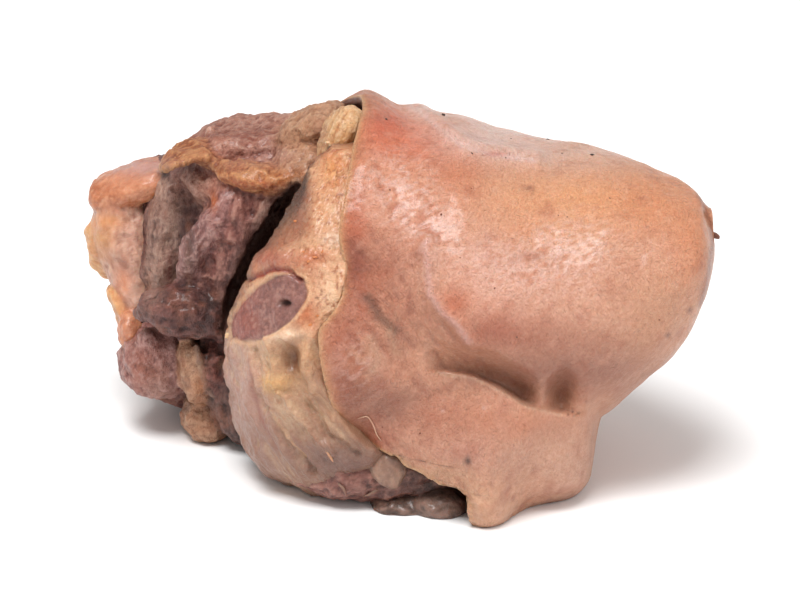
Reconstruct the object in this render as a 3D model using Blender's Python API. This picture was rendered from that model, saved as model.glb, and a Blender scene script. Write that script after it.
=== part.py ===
"""Roast ham hock: rind, fat and meat grown together, as one closed solid.

Run with: blender --background --python part.py
Units are millimetres in this file; meshes are written in metres.
Frame: origin on the resting plane under the middle of the hock, +X along its
length towards the rounded rind end, +Y to the back, +Z up.
"""

import math

import bmesh
import bpy
import numpy as np

# Driving dimensions, in millimetres
RIGHT_END = 86.3
CORE_Y = 6.0
CORE_Y_RIGHT = -5.0
CORE_Z = 46.0
CORE_Z_RIGHT = 62.0
DEPTH_BACK = 50.0
DEPTH_FRONT = 47.0
SECTION_POWER = 2.15

# The front view in which outlines and places are given: looking along +Y, tilted down
VIEW_TILT = math.radians(22.0)
VIEW_DISTANCE = 1400.0
VIEW_MIDDLE = 44.0

# Outline of the rind seen from the front at the view tilt: (x, height in that view)
RIND_TOP = ((-90, 74), (-66, 82), (-45, 88), (-24, 95), (-11, 96.5), (0, 95.2), (14, 95), (27, 91.6),
            (40, 88.6), (52, 86.6), (66, 82.2), (77, 77.6), (83, 72.4), (86.3, 62))
DOME_BOTTOM = ((-90, 26), (-60, 14), (-20, 6), (20, 8), (40, 10), (54.8, 13), (63, 20), (71, 27),
               (79.5, 38), (83.5, 48), (86.3, 60))
# Share of the full depth, front and back, along x
HALF_DEPTH = ((-90, 0.62), (-60, 0.86), (-20, 1.0), (20, 1.0), (50, 0.90), (66, 0.74), (76, 0.60),
              (83, 0.40), (86.3, 0.06))

# Edge of the rind: angle round the long axis (0 front, 90 top, 180 back) and its x
RIND_EDGE = ((-172, -79), (-150, -62), (-125, -36), (-95, -8), (-66, 14), (-47, 17), (-40, 6), (-33, -8),
             (-20, -19), (-8, -22), (6, -17), (30, -16), (60, -16), (88, -14), (104, -17), (118, -40),
             (130, -66), (150, -83), (172, -84))

# Size of the finished mesh: grain of the fused surface and its number of triangles
GRAIN = 1.25
TRIANGLES = 10800
MM = 0.001


def curve(points, x):
    """Smooth curve through (x, y) points: cubic pieces whose slopes never overshoot the points."""
    px = np.array([p[0] for p in points], float)
    py = np.array([p[1] for p in points], float)
    step = np.diff(px)
    slope = np.diff(py) / step
    tangent = np.empty_like(py)
    tangent[0] = slope[0]
    tangent[-1] = slope[-1]
    same_way = slope[:-1] * slope[1:] > 0
    weight_a = 2.0 * step[1:] + step[:-1]
    weight_b = step[1:] + 2.0 * step[:-1]
    safe_a = np.where(same_way, slope[:-1], 1.0)
    safe_b = np.where(same_way, slope[1:], 1.0)
    mean = (weight_a + weight_b) / (weight_a / safe_a + weight_b / safe_b)
    tangent[1:-1] = np.where(same_way, mean, 0.0)
    x = np.clip(np.asarray(x, float), px[0], px[-1])
    i = np.clip(np.searchsorted(px, x, side="right") - 1, 0, len(px) - 2)
    t = (x - px[i]) / step[i]
    t2 = t * t
    t3 = t2 * t
    return ((2 * t3 - 3 * t2 + 1) * py[i] + (t3 - 2 * t2 + t) * step[i] * tangent[i]
            + (3 * t2 - 2 * t3) * py[i + 1] + (t3 - t2) * step[i] * tangent[i + 1])


def around(points, angle):
    """The same curve for a quantity that repeats after one turn, with the angle in degrees."""
    wrapped = [(a - 360.0, v) for a, v in points] + list(points) + [(a + 360.0, v) for a, v in points]
    return curve(wrapped, (np.asarray(angle, float) + 180.0) % 360.0 - 180.0)


def hump(distance, width):
    """Bell-shaped falloff: 1 at distance 0, about a third at one width."""
    return np.exp(-(distance / width) ** 2)


def ramp(value, low, high):
    """Smooth step: 0 up to low, 1 from high on."""
    t = np.clip((value - low) / (high - low), 0.0, 1.0)
    return t * t * (3.0 - 2.0 * t)


def spot(x, height, place):
    """Bell-shaped relief round one place of the front view."""
    middle_x, middle_height, wide, high, relief = place
    return relief * hump((x - middle_x) / wide, 1.0) * hump((height - middle_height) / high, 1.0)


def crags(x, y, z, size, seed):
    """Uneven relief, mostly from -1 to 1: plane waves about size mm long, bent by others, all seeded."""
    draw = np.random.default_rng(seed)
    points = np.stack((x, y, z), axis=-1)
    total = np.zeros_like(x)
    weight = 0.0
    for octave in range(3):
        wave = 2.0 * math.pi / (size * 0.62 ** octave)
        share = 0.66 ** octave
        for _ in range(5):
            way, bend = draw.normal(size=(2, 3))
            phase = draw.uniform(0.0, 2.0 * math.pi, 2)
            warp = 0.9 * np.sin(0.55 * wave * points @ (bend / np.linalg.norm(bend)) + phase[1])
            total += share * np.sin(wave * points @ (way / np.linalg.norm(way)) + phase[0] + warp)
            weight += share
    return 2.2 * total / weight


def distance_to_line(px, ph, line):
    """Distance in the front view from points to a line of straight pieces."""
    best = np.full(np.shape(px), np.inf)
    for (ax, ah), (bx, bh) in zip(line[:-1], line[1:]):
        length2 = (bx - ax) ** 2 + (bh - ah) ** 2
        t = np.clip(((px - ax) * (bx - ax) + (ph - ah) * (bh - ah)) / length2, 0.0, 1.0)
        best = np.minimum(best, np.hypot(px - ax - t * (bx - ax), ph - ah - t * (bh - ah)))
    return best


def view_height(y, z):
    """Height of a point as it shows from the front at the view tilt."""
    return z * math.cos(VIEW_TILT) + y * math.sin(VIEW_TILT)


def mesh_object(name, points, faces):
    """Object from points in millimetres and faces, with the faces turned outwards."""
    mesh = bpy.data.meshes.new(name)
    mesh.from_pydata((points * MM).tolist(), [], faces)
    mesh.validate()
    work = bmesh.new()
    work.from_mesh(mesh)
    bmesh.ops.recalc_face_normals(work, faces=work.faces)
    work.to_mesh(mesh)
    work.free()
    piece = bpy.data.objects.new(name, mesh)
    bpy.context.scene.collection.objects.link(piece)
    return piece


def closed_tube(name, rings, first_cap, last_cap):
    """Solid through rings of points (ring, place, xyz), closed at both ends by fans to two cap points."""
    count, places, _ = rings.shape
    points = np.vstack((rings.reshape(-1, 3), [first_cap], [last_cap]))
    faces = []
    for i in range(count - 1):
        for j in range(places):
            k = (j + 1) % places
            faces.append((i * places + j, i * places + k, (i + 1) * places + k, (i + 1) * places + j))
    first = count * places
    for j in range(places):
        k = (j + 1) % places
        faces.append((first, k, j))
        faces.append((first + 1, (count - 1) * places + j, (count - 1) * places + k))
    return mesh_object(name, points, faces)


# Rind-covered body. Lines are (x, height) in the front view, heights and depths of relief in mm.
# A spot is (x, height, half-width, half-height, relief).

CREASE = ((9.0, 26.5), (19.0, 23.6), (25.0, 21.4), (30.0, 18.9), (36.0, 16.0), (44.0, 13.9), (53.0, 12.0))
CREASE_DEPTH = 6.5
CREASE_WIDTH = 3.0
VALLEY = ((-9.0, 52.0), (-4.0, 40.0), (3.0, 31.0), (10.0, 26.0))
VALLEY_DEPTH = 4.6
VALLEY_WIDTH = 9.0
FRONT_SPOTS = ((26.5, 22.5, 7.0, 3.8, -5.5), (44.5, 20.0, 3.4, 5.0, -6.0), (27.0, 42.0, 18.0, 13.0, 3.2))
BULGE_EDGE = ((8.2, 64.0), (8.4, 51.0), (13.5, 41.0), (18.0, 31.5))
BULGE_EDGE_HEIGHT = 1.8
BULGE_EDGE_WIDTH = 3.6
SHOULDER = ((1.5, 97.0), (8.0, 91.5), (16.0, 85.5), (27.0, 82.7), (36.0, 81.0))
SHOULDER_HEIGHT = 2.2
SHOULDER_WIDTH = 4.0
RIM_HUMP = (-8.5, 96.0, 8.0, 16.0, 5.0)
RIND_UNEVEN = 0.5
RIND_UNEVEN_SIZE = 26.0

# The foot under the crease: reach to the front and back and depth below the long axis, along x
FOOT_FRONT = ((-40, 30), (-14, 38), (4, 48), (16, 54), (23, 57), (30, 53), (38, 47),
              (46, 42), (51, 37), (54, 27), (57, 4))
FOOT_BACK = ((-70, 20), (-40, 40), (-10, 46), (20, 42), (40, 33), (50, 24), (56, 4))
FOOT_DEPTH = ((-80, 20), (-60, 45), (-30, 47), (10, 51), (24, 56), (46, 55), (51, 53), (54, 43), (57, 6))
FOOT_ABOVE = 12.0
FOOT_POWER = 4.0
FOOT_NECK = 0.70
JOIN_SOFTNESS = 1.6

# The filled skin: rings and places round, the last ring's distance from the end, the point behind the meat
RIND_RINGS = 90
RIND_PLACES = 120
END_GAP = 0.3
BEHIND_MEAT = (-8.0, 22.0, CORE_Z)

# The second cut end, turned to the right and back: its facing, its distance and its dip
END_CUT = (0.80, 0.58, 0.14)
END_CUT_REACH = 76.5
END_CUT_DIP = 2.2
END_CUT_BULGE = 0.12


def ellipse_radius(angle, front, back, above, below, power):
    """Radius at an angle of an oval with four half-axes (angle 0 front, 90 top, 180 back)."""
    level = np.cos(angle)
    rise = np.sin(angle)
    across = np.where(level > 0, front, back)
    upright = np.where(rise > 0, above, below)
    return ((np.abs(level) / across) ** power + (np.abs(rise) / upright) ** power) ** (-1.0 / power)


def axis_height(x):
    """Height of the long axis, which climbs towards the rounded end."""
    return curve(((-90, CORE_Z), (-10, CORE_Z), (30, 49.5), (60, 56), (RIGHT_END, CORE_Z_RIGHT)), x)


def axis_depth(x):
    """Depth of the long axis, which comes forward at the rounded end."""
    return curve(((-90, CORE_Y), (30, CORE_Y), (RIGHT_END, CORE_Y_RIGHT)), x)


def rind_points(x, angle):
    """Surface of the rind: oval sections that keep the outline, joined softly to the foot, then creased.

    The half-axes above and below follow from the outline: a tilted view of an oval shows
    the square root of (half-height x cos)^2 + (half-depth x sin)^2 from its middle.
    """
    scale = curve(HALF_DEPTH, x)
    front = DEPTH_FRONT * scale
    back = DEPTH_BACK * scale
    centre = axis_height(x)
    middle = axis_depth(x)
    seen = view_height(middle, centre)
    tilt_cos = math.cos(VIEW_TILT)
    tilt_sin = math.sin(VIEW_TILT)
    above = np.sqrt(np.maximum((curve(RIND_TOP, x) - seen) ** 2 - (back * tilt_sin) ** 2, 4.0)) / tilt_cos
    below = np.sqrt(np.maximum((seen - curve(DOME_BOTTOM, x)) ** 2 - (front * tilt_sin) ** 2, 4.0)) / tilt_cos
    dome = ellipse_radius(angle, front, back, above, below, SECTION_POWER)
    foot = ellipse_radius(angle, curve(FOOT_FRONT, x), curve(FOOT_BACK, x), FOOT_ABOVE,
                          curve(FOOT_DEPTH, x), FOOT_POWER)
    foot = foot * (FOOT_NECK + (1.0 - FOOT_NECK) * ramp(-np.sin(angle), 0.06, 0.46))
    radius = JOIN_SOFTNESS * np.logaddexp(dome / JOIN_SOFTNESS, foot / JOIN_SOFTNESS)
    y = middle - radius * np.cos(angle)
    z = centre + radius * np.sin(angle)
    height = view_height(y, z)
    toward = BULGE_EDGE_HEIGHT * hump(distance_to_line(x, height, BULGE_EDGE), BULGE_EDGE_WIDTH)
    toward = toward - CREASE_DEPTH * hump(distance_to_line(x, height, CREASE), CREASE_WIDTH)
    toward = toward - VALLEY_DEPTH * hump(distance_to_line(x, height, VALLEY), VALLEY_WIDTH)
    for place in FRONT_SPOTS:
        toward = toward + spot(x, height, place)
    over = SHOULDER_HEIGHT * hump(distance_to_line(x, height, SHOULDER), SHOULDER_WIDTH)
    over = over + spot(x, height, RIM_HUMP)
    radius = radius + ramp(middle - y, -4.0, 8.0) * toward + ramp(z - centre, 0.0, 20.0) * over
    radius = radius + RIND_UNEVEN * crags(x, y, z, RIND_UNEVEN_SIZE, 3)
    y = middle - radius * np.cos(angle)
    z = centre + radius * np.sin(angle)
    return end_cut(np.stack((x, y, z), axis=-1))


def end_cut(points):
    """Presses what lies past the second cut end back to it, and dips the face inside its edge."""
    normal = np.array(END_CUT) / np.linalg.norm(END_CUT)
    past = points @ normal - END_CUT_REACH
    pull = np.maximum(past, 0.0) * (1.0 - END_CUT_BULGE) + END_CUT_DIP * ramp(past, 2.0, 7.0)
    return points - pull[..., None] * normal


def rind_body():
    """The rind-covered body: one skin from the rind's edge to the rounded end, filled behind it."""
    angle = np.linspace(-180.0, 180.0, RIND_PLACES, endpoint=False)
    share = np.linspace(0.0, 1.0, RIND_RINGS) ** 0.9
    edge = around(RIND_EDGE, angle)
    share_grid, angle_grid = np.meshgrid(share, np.radians(angle), indexing="ij")
    x = edge[None, :] + share_grid * (RIGHT_END - END_GAP - edge[None, :])
    rings = rind_points(x, angle_grid)
    return closed_tube("rind_body", rings, BEHIND_MEAT, rings[-1].mean(axis=0))


# Meat, fat and torn pieces

BLUNT_END = 0.02


def lobe(name, centre, radii, turn=(0.0, 0.0, 0.0), power=2.0, relief=0.0, size=14.0, seed=1, detail=28):
    """Rounded piece: an oval ball with its own turn in degrees, flattened by power, roughened by relief."""
    lon = np.linspace(0.0, 2.0 * math.pi, detail * 2, endpoint=False)
    lat = np.linspace(-math.pi / 2.0, math.pi / 2.0, detail + 2)[1:-1]
    lat_grid, lon_grid = np.meshgrid(lat, lon, indexing="ij")
    poles = np.array(((0.0, 0.0, -1.0), (0.0, 0.0, 1.0)))
    ball = np.stack((np.cos(lat_grid) * np.cos(lon_grid), np.cos(lat_grid) * np.sin(lon_grid),
                     np.sin(lat_grid)), axis=-1)
    ball = np.concatenate((ball.reshape(-1, 3), poles))
    size_here = (np.abs(ball) ** power).sum(axis=1) ** (-1.0 / power)
    points = ball * size_here[:, None] * np.array(radii)
    rx, ry, rz = (math.radians(a) for a in turn)
    spin_x = np.array(((1, 0, 0), (0, math.cos(rx), -math.sin(rx)), (0, math.sin(rx), math.cos(rx))))
    spin_y = np.array(((math.cos(ry), 0, math.sin(ry)), (0, 1, 0), (-math.sin(ry), 0, math.cos(ry))))
    spin_z = np.array(((math.cos(rz), -math.sin(rz), 0), (math.sin(rz), math.cos(rz), 0), (0, 0, 1)))
    points = points @ (spin_z @ spin_y @ spin_x).T + np.array(centre)
    if relief:
        out = points - np.array(centre)
        out /= np.linalg.norm(out, axis=1)[:, None]
        points = points + out * (relief * crags(points[:, 0], points[:, 1], points[:, 2], size, seed))[:, None]
    rings = points[:-2].reshape(detail, detail * 2, 3)
    return closed_tube(name, rings, points[-2], points[-1])


def strand(name, path, widths, depths, turn=0.0, relief=0.8, size=9.0, seed=1, detail=24):
    """Band of meat along a path: an oval section, width across the view and depth into it, round-ended."""
    path = np.array(path, float)
    place = np.linspace(0.0, 1.0, len(path))
    along = np.linspace(0.0, 1.0, detail * 2)
    centre = np.stack([curve(list(zip(place, path[:, k])), along) for k in range(3)], axis=-1)
    way = np.gradient(centre, axis=0)
    way /= np.linalg.norm(way, axis=1)[:, None]
    across = np.cross(way, np.array((0.0, 1.0, 0.0)))
    across /= np.linalg.norm(across, axis=1)[:, None]
    depth_way = np.cross(way, across)
    cos_turn = math.cos(math.radians(turn))
    sin_turn = math.sin(math.radians(turn))
    side = across * cos_turn + depth_way * sin_turn
    deep = depth_way * cos_turn - across * sin_turn
    end = np.sqrt(np.clip(1.0 - np.abs(2.0 * along - 1.0) ** 6, BLUNT_END, 1.0))
    wide = curve(list(zip(np.linspace(0, 1, len(widths)), widths)), along) * end
    thick = curve(list(zip(np.linspace(0, 1, len(depths)), depths)), along) * end
    turn_grid = np.linspace(0.0, 2.0 * math.pi, detail, endpoint=False)
    rings = (centre[:, None, :] + side[:, None, :] * (wide[:, None] * np.cos(turn_grid))[..., None]
             + deep[:, None, :] * (thick[:, None] * np.sin(turn_grid))[..., None])
    if relief:
        out = rings - centre[:, None, :]
        out /= np.linalg.norm(out, axis=2)[..., None]
        rough = crags(rings[..., 0], rings[..., 1], rings[..., 2], size, seed)
        rings = rings + out * (relief * rough * end[:, None])[..., None]
    return closed_tube(name, rings, rings[0].mean(axis=0), rings[-1].mean(axis=0))


def at(x, height, y):
    """Point at depth y that shows at (x, height) in the front view, from the viewing distance."""
    spread = 1.0 + y * math.cos(VIEW_TILT) / VIEW_DISTANCE
    height = VIEW_MIDDLE + (height - VIEW_MIDDLE) * spread
    return (x * spread, y, (height - y * math.sin(VIEW_TILT)) / math.cos(VIEW_TILT))


# Near cut end: its upright axis, and along z its left side, its reach to the front and to the back
WALL_AXIS = (-12.0, -7.0)
WALL_LEFT = ((0, -34), (6, -40), (14, -44), (26, -46), (38, -47.5), (47, -47), (61, -42.5), (70, -37),
             (78, -31.5), (88, -25), (96, -17))
WALL_FRONT = ((0, 17), (6, 25), (16, 30.5), (30, 32), (46, 32), (62, 29.5), (76, 22.5), (86, 12), (96, 3))
WALL_BACK = ((0, 15), (30, 15), (60, 15), (80, 14), (96, 10))
WALL_RIGHT = 14.0
WALL_TOP = 95.0
WALL_POWER = 2.3
WALL_RELIEF = 0.7
WALL_LEVELS = 44
WALL_PLACES = 72


def near_wall():
    """Cut end under the rind's front edge: level ovals whose left side follows the outline of the cut."""
    z = np.linspace(0.5, WALL_TOP, WALL_LEVELS)
    turn = np.linspace(0.0, 2.0 * math.pi, WALL_PLACES, endpoint=False)
    z_grid, turn_grid = np.meshgrid(z, turn, indexing="ij")
    left = WALL_AXIS[0] - curve(WALL_LEFT, z_grid)
    cos_turn = np.cos(turn_grid)
    sin_turn = np.sin(turn_grid)
    wide = np.where(cos_turn < 0, left, WALL_RIGHT)
    deep = np.where(sin_turn < 0, curve(WALL_FRONT, z_grid), curve(WALL_BACK, z_grid))
    radius = ((np.abs(cos_turn) / wide) ** WALL_POWER
              + (np.abs(sin_turn) / deep) ** WALL_POWER) ** (-1.0 / WALL_POWER)
    rough = crags(radius * cos_turn, radius * sin_turn, z_grid, 15.0, 11)
    radius = radius + WALL_RELIEF * rough
    rings = np.stack((WALL_AXIS[0] + radius * cos_turn, WALL_AXIS[1] + radius * sin_turn, z_grid), axis=-1)
    return closed_tube("near_wall", rings, rings[0].mean(axis=0), rings[-1].mean(axis=0))


def meat_pieces():
    """Torn far side, loose chunks, fat and the underside, each a closed piece that overlaps its neighbours."""
    return [
        lobe("core", (-42, 33, 43), (32, 17, 41), power=2.6, relief=1.4, size=16, seed=21),
        lobe("underside", (-3, -8, 9), (28, 28, 10), power=2.8, relief=1.2, size=14, seed=22),
        lobe("gap_floor", (-40, 13, 15), (13, 13, 15), power=2.3, relief=1.2, size=10, seed=46),
        lobe("top_fill", (-20, 21, 73), (18, 24, 17), power=2.3, relief=1.2, size=12, seed=45),
        strand("central_strand", [at(-36, 82, 20), at(-41, 68, 17), at(-44, 52, 15), at(-48, 34, 15)],
               (8.0, 10.5, 9.0, 5.0), (9, 10, 9, 6), relief=1.1, seed=23),
        strand("left_strand", [at(-60, 79.5, 30), at(-63, 68, 26), at(-64, 54, 25), at(-62, 38, 24)],
               (5.5, 5.5, 6.0, 6.5), (8, 9, 9, 8), relief=0.9, seed=24),
        lobe("top_plate", (-33, 27, 77.5), (23, 20, 6.6), turn=(12, -2, -8), power=2.8, relief=1.6, size=11,
             seed=25),
        strand("ledge", [at(-49, 80, 14), at(-40, 77.5, 11), at(-31, 77, 9), at(-25, 79, 9)],
               (2.6, 3.6, 3.6, 2.4), (4, 6, 6, 4), relief=0.8, seed=26),
        strand("ribbon", [at(-64.5, 79.5, 20), at(-60, 83.5, 24), at(-54, 84, 28), at(-48, 82, 30)],
               (2.4, 2.6, 3.2, 4.0), (3.0, 5, 7, 8), relief=0.6, seed=27),
        strand("spike", [at(-49, 84, 32), at(-51, 88, 33), at(-51.8, 92.5, 34)],
               (3.5, 2.4, 1.0), (4, 3, 1.2), relief=0.3, seed=28),
        strand("pointed_chunk", [at(-73, 39, 16), at(-67, 41, 14), at(-59, 40.5, 12), at(-51, 35, 12)],
               (2.0, 6.0, 8.2, 5.5), (3, 8, 9, 8), relief=0.9, seed=29),
        lobe("lower_meat", at(-66.5, 29.3, 23), (11, 12, 11.5), turn=(0, -30, 0), relief=1.3, size=12, seed=30),
        strand("fat_stripe", [at(-58, 34, 15), at(-55, 26, 15), at(-52.5, 17, 16)],
               (3.4, 4.2, 3.6), (4, 5, 4), relief=0.5, seed=31),
        lobe("red_chunk", at(-50.5, 24.5, 16), (5, 7, 9.5), turn=(0, -8, 0), relief=0.8, size=8, seed=32),
        lobe("knob", at(-52.5, 12.6, 20), (7.4, 9, 7.2), relief=0.8, size=9, seed=33),
        strand("rear_lip", [at(-84, 71.5, 44), at(-80, 73.5, 43), at(-71, 75.5, 41), at(-62, 78.5, 40)],
               (3.6, 5.6, 6.0, 6.0), (5, 8, 9, 9), relief=0.6, size=12, seed=34),
        lobe("yellow_fat", at(-80.6, 60, 38), (5.6, 7, 9), turn=(0, -14, 0), relief=0.9, size=8, seed=35),
        lobe("pale_fat", at(-74, 55.5, 34), (7.6, 10, 14), turn=(0, -10, 0), relief=1.2, size=9, seed=36),
        lobe("side_lip", at(-74.2, 37, 26), (3.6, 7, 7), turn=(0, 0, 0), relief=0.5, size=8, seed=37),
        lobe("rear_fill", (-52, 36, 22), (24, 15, 21), power=2.5, relief=1.2, size=14, seed=38),
        lobe("lower_muscle", (-12, -19, 9.5), (20, 17, 9.5), power=2.3, relief=1.0, size=12, seed=39),
        strand("flap_tip", [at(22, 6, -39), at(24, -3, -42), at(25, -12, -44), at(25, -20, -45.5)],
               (9.0, 10.0, 8.0, 4.5), (5, 6, 6, 5), relief=0.3, seed=43),
        strand("flap_heel", [at(37, 6, -31), at(41, -2, -26), at(43, -8, -21)],
               (9.0, 9.5, 7.0), (7, 8, 6), turn=20, relief=0.3, seed=44),
        strand("tongue", [at(-10, 3, -33), at(-4, -1, -35), at(1, -6.5, -37)],
               (4.5, 5.0, 3.2), (2.5, 3, 2.4), relief=0.4, seed=40),
        lobe("under_lump_left", at(0, -12.5, -32), (9, 8, 4.5), relief=0.9, size=7, seed=41),
        lobe("under_lump_right", at(10.5, -13.5, -35), (8, 7, 5), relief=0.9, size=7, seed=42),
    ]


def torn_gap():
    """Cutter for the dark gap where the far meat has pulled away from the near cut end."""
    path = [at(-28, 79, 4), at(-32, 71, 4), at(-37, 62, 3), at(-42.5, 52, 1), at(-46.5, 42, 1), at(-49, 34, 3)]
    widths = (4.0, 5.0, 5.5, 4.2, 3.0, 2.4)
    depths = (17, 18, 19, 18, 16, 12)
    return strand("torn_gap", path, widths, depths, relief=0.8, seed=51)


def join(pieces):
    """One closed solid from overlapping pieces, by one union on their collection."""
    base = pieces[0]
    group = bpy.data.collections.new("joined")
    bpy.context.scene.collection.children.link(group)
    for piece in pieces[1:]:
        group.objects.link(piece)
    union = base.modifiers.new("union", "BOOLEAN")
    union.operation = "UNION"
    union.operand_type = "COLLECTION"
    union.collection = group
    union.solver = "MANIFOLD"
    apply_modifiers(base)
    for piece in pieces[1:]:
        bpy.data.objects.remove(piece)
    bpy.data.collections.remove(group)
    return base


def apply_modifiers(piece):
    """Keeps the shape that the modifiers give and takes the modifiers off."""
    view = bpy.context.evaluated_depsgraph_get()
    view.update()
    mesh = bpy.data.meshes.new_from_object(piece.evaluated_get(view))
    piece.modifiers.clear()
    piece.data = mesh


def take_away(piece, cutter):
    """Cuts one closed shape out of a piece."""
    cut = piece.modifiers.new("cut", "BOOLEAN")
    cut.operation = "DIFFERENCE"
    cut.object = cutter
    cut.solver = "MANIFOLD"
    apply_modifiers(piece)
    bpy.data.objects.remove(cutter)


FLOOR_SIZE = 400.0


def floor_cut(piece):
    """Trims what reaches under the resting plane, which leaves the flat spots that the hock lies on."""
    work = bmesh.new()
    bmesh.ops.create_cube(work, size=FLOOR_SIZE * MM)
    bmesh.ops.translate(work, verts=work.verts, vec=(0.0, 0.0, -0.5 * FLOOR_SIZE * MM))
    mesh = bpy.data.meshes.new("floor")
    work.to_mesh(mesh)
    work.free()
    floor = bpy.data.objects.new("floor", mesh)
    bpy.context.scene.collection.objects.link(floor)
    take_away(piece, floor)


def stand_on_origin(piece):
    """Moves the piece so that the middle of its box, seen from above, lies over the origin."""
    corners = np.array([tuple(corner) for corner in piece.bound_box])
    middle = (corners.min(axis=0) + corners.max(axis=0)) / 2.0
    points = np.empty(3 * len(piece.data.vertices))
    piece.data.vertices.foreach_get("co", points)
    points = points.reshape(-1, 3) - (middle[0], middle[1], 0.0)
    piece.data.vertices.foreach_set("co", points.ravel())
    piece.data.update()


def roast_material():
    """Roasted rind colour with a soft shine."""
    material = bpy.data.materials.new("roast_rind")
    material.use_nodes = True
    shader = material.node_tree.nodes["Principled BSDF"]
    shader.inputs["Base Color"].default_value = (0.72, 0.36, 0.22, 1.0)
    shader.inputs["Roughness"].default_value = 0.4
    shader.inputs["Metallic"].default_value = 0.0
    return material


def main():
    for old in list(bpy.data.objects):
        bpy.data.objects.remove(old)
    hock = join([rind_body(), near_wall()] + meat_pieces())
    hock.name = "ham_hock"
    take_away(hock, torn_gap())
    fuse = hock.modifiers.new("fuse", "REMESH")
    fuse.mode = "VOXEL"
    fuse.voxel_size = GRAIN * MM
    smooth = hock.modifiers.new("soften", "SMOOTH")
    smooth.factor = 0.5
    smooth.iterations = 2
    apply_modifiers(hock)
    faces = sum(len(p.vertices) - 2 for p in hock.data.polygons)
    thin = hock.modifiers.new("thin", "DECIMATE")
    thin.ratio = TRIANGLES / faces
    thin.use_collapse_triangulate = True
    apply_modifiers(hock)
    floor_cut(hock)
    stand_on_origin(hock)
    hock.data.materials.clear()
    hock.data.materials.append(roast_material())
    hock.data.shade_smooth()


main()
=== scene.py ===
"""Looks of the roast ham hock: glossy wrinkled rind, its creamy edge, the cut muscle and the torn meat.

Shapes are worked out in millimetres in the maker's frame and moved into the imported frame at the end.
Places on the near side are given as they show from the front: (x, height) in the tilted view.
"""

import math

import bmesh
import bpy
import mathutils
import numpy as np
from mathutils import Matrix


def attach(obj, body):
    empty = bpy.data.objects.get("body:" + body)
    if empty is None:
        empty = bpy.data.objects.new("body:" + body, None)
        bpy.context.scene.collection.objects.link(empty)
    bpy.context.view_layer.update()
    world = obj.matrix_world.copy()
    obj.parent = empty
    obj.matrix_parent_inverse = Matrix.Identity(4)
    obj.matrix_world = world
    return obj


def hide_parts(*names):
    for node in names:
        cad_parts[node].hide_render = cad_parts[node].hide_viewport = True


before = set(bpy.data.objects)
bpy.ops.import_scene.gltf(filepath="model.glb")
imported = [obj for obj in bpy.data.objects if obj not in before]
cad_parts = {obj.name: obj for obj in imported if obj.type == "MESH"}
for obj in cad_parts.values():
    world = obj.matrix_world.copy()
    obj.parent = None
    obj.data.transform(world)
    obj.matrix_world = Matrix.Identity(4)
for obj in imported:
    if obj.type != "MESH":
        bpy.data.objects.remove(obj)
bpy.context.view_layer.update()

MM = 0.001
NODE = "ham_hock"

# The view of the near side: looking along +Y, tilted down, from a long way off
VIEW_TILT = math.radians(22.0)
VIEW_DISTANCE = 1400.0
VIEW_CENTRE = np.array((0.0, 0.0, 47.9))
PIXELS_PER_MM = 3.65
PICTURE_WIDTH = 800.0
SENSOR_WIDTH = 36.0
TILT_COS = math.cos(VIEW_TILT)
TILT_SIN = math.sin(VIEW_TILT)
TO_VIEWER = np.array((0.0, -TILT_COS, TILT_SIN))
VIEW_MIDDLE = VIEW_CENTRE[2] * TILT_COS

# Where the maker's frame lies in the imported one
SHIFT = np.array((1.438, -3.039, 0.0))


# Curves, falloffs and random fields

def curve(points, x):
    """Smooth curve through (x, y) points: cubic pieces whose slopes never overshoot the points."""
    px = np.array([p[0] for p in points], float)
    py = np.array([p[1] for p in points], float)
    step = np.diff(px)
    slope = np.diff(py) / step
    tangent = np.empty_like(py)
    tangent[0] = slope[0]
    tangent[-1] = slope[-1]
    same_way = slope[:-1] * slope[1:] > 0
    weight_a = 2.0 * step[1:] + step[:-1]
    weight_b = step[1:] + 2.0 * step[:-1]
    safe_a = np.where(same_way, slope[:-1], 1.0)
    safe_b = np.where(same_way, slope[1:], 1.0)
    mean = (weight_a + weight_b) / (weight_a / safe_a + weight_b / safe_b)
    tangent[1:-1] = np.where(same_way, mean, 0.0)
    x = np.clip(np.asarray(x, float), px[0], px[-1])
    i = np.clip(np.searchsorted(px, x, side="right") - 1, 0, len(px) - 2)
    t = (x - px[i]) / step[i]
    t2 = t * t
    t3 = t2 * t
    return ((2 * t3 - 3 * t2 + 1) * py[i] + (t3 - 2 * t2 + t) * step[i] * tangent[i]
            + (3 * t2 - 2 * t3) * py[i + 1] + (t3 - t2) * step[i] * tangent[i + 1])


def through(values, place):
    """Smooth curve through values that are spaced evenly from place 0 to place 1."""
    return curve(list(zip(np.linspace(0.0, 1.0, len(values)), values)), place)


def hump(distance, width):
    """Bell-shaped falloff: 1 at distance 0, about a third at one width."""
    return np.exp(-(distance / width) ** 2)


def ramp(value, low, high):
    """Smooth step: 0 up to low, 1 from high on."""
    t = np.clip((value - low) / (high - low), 0.0, 1.0)
    return t * t * (3.0 - 2.0 * t)


def spot(x, height, place):
    """Bell-shaped relief round one place of the front view: (x, height, half-width, half-height, relief)."""
    middle_x, middle_height, wide, high, relief = place
    return relief * hump((x - middle_x) / wide, 1.0) * hump((height - middle_height) / high, 1.0)


def with_spots(relief, x, height, places, where=1.0):
    """Adds the bell-shaped relief of several places of the front view."""
    for place in places:
        relief = relief + where * spot(x, height, place)
    return relief


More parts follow.
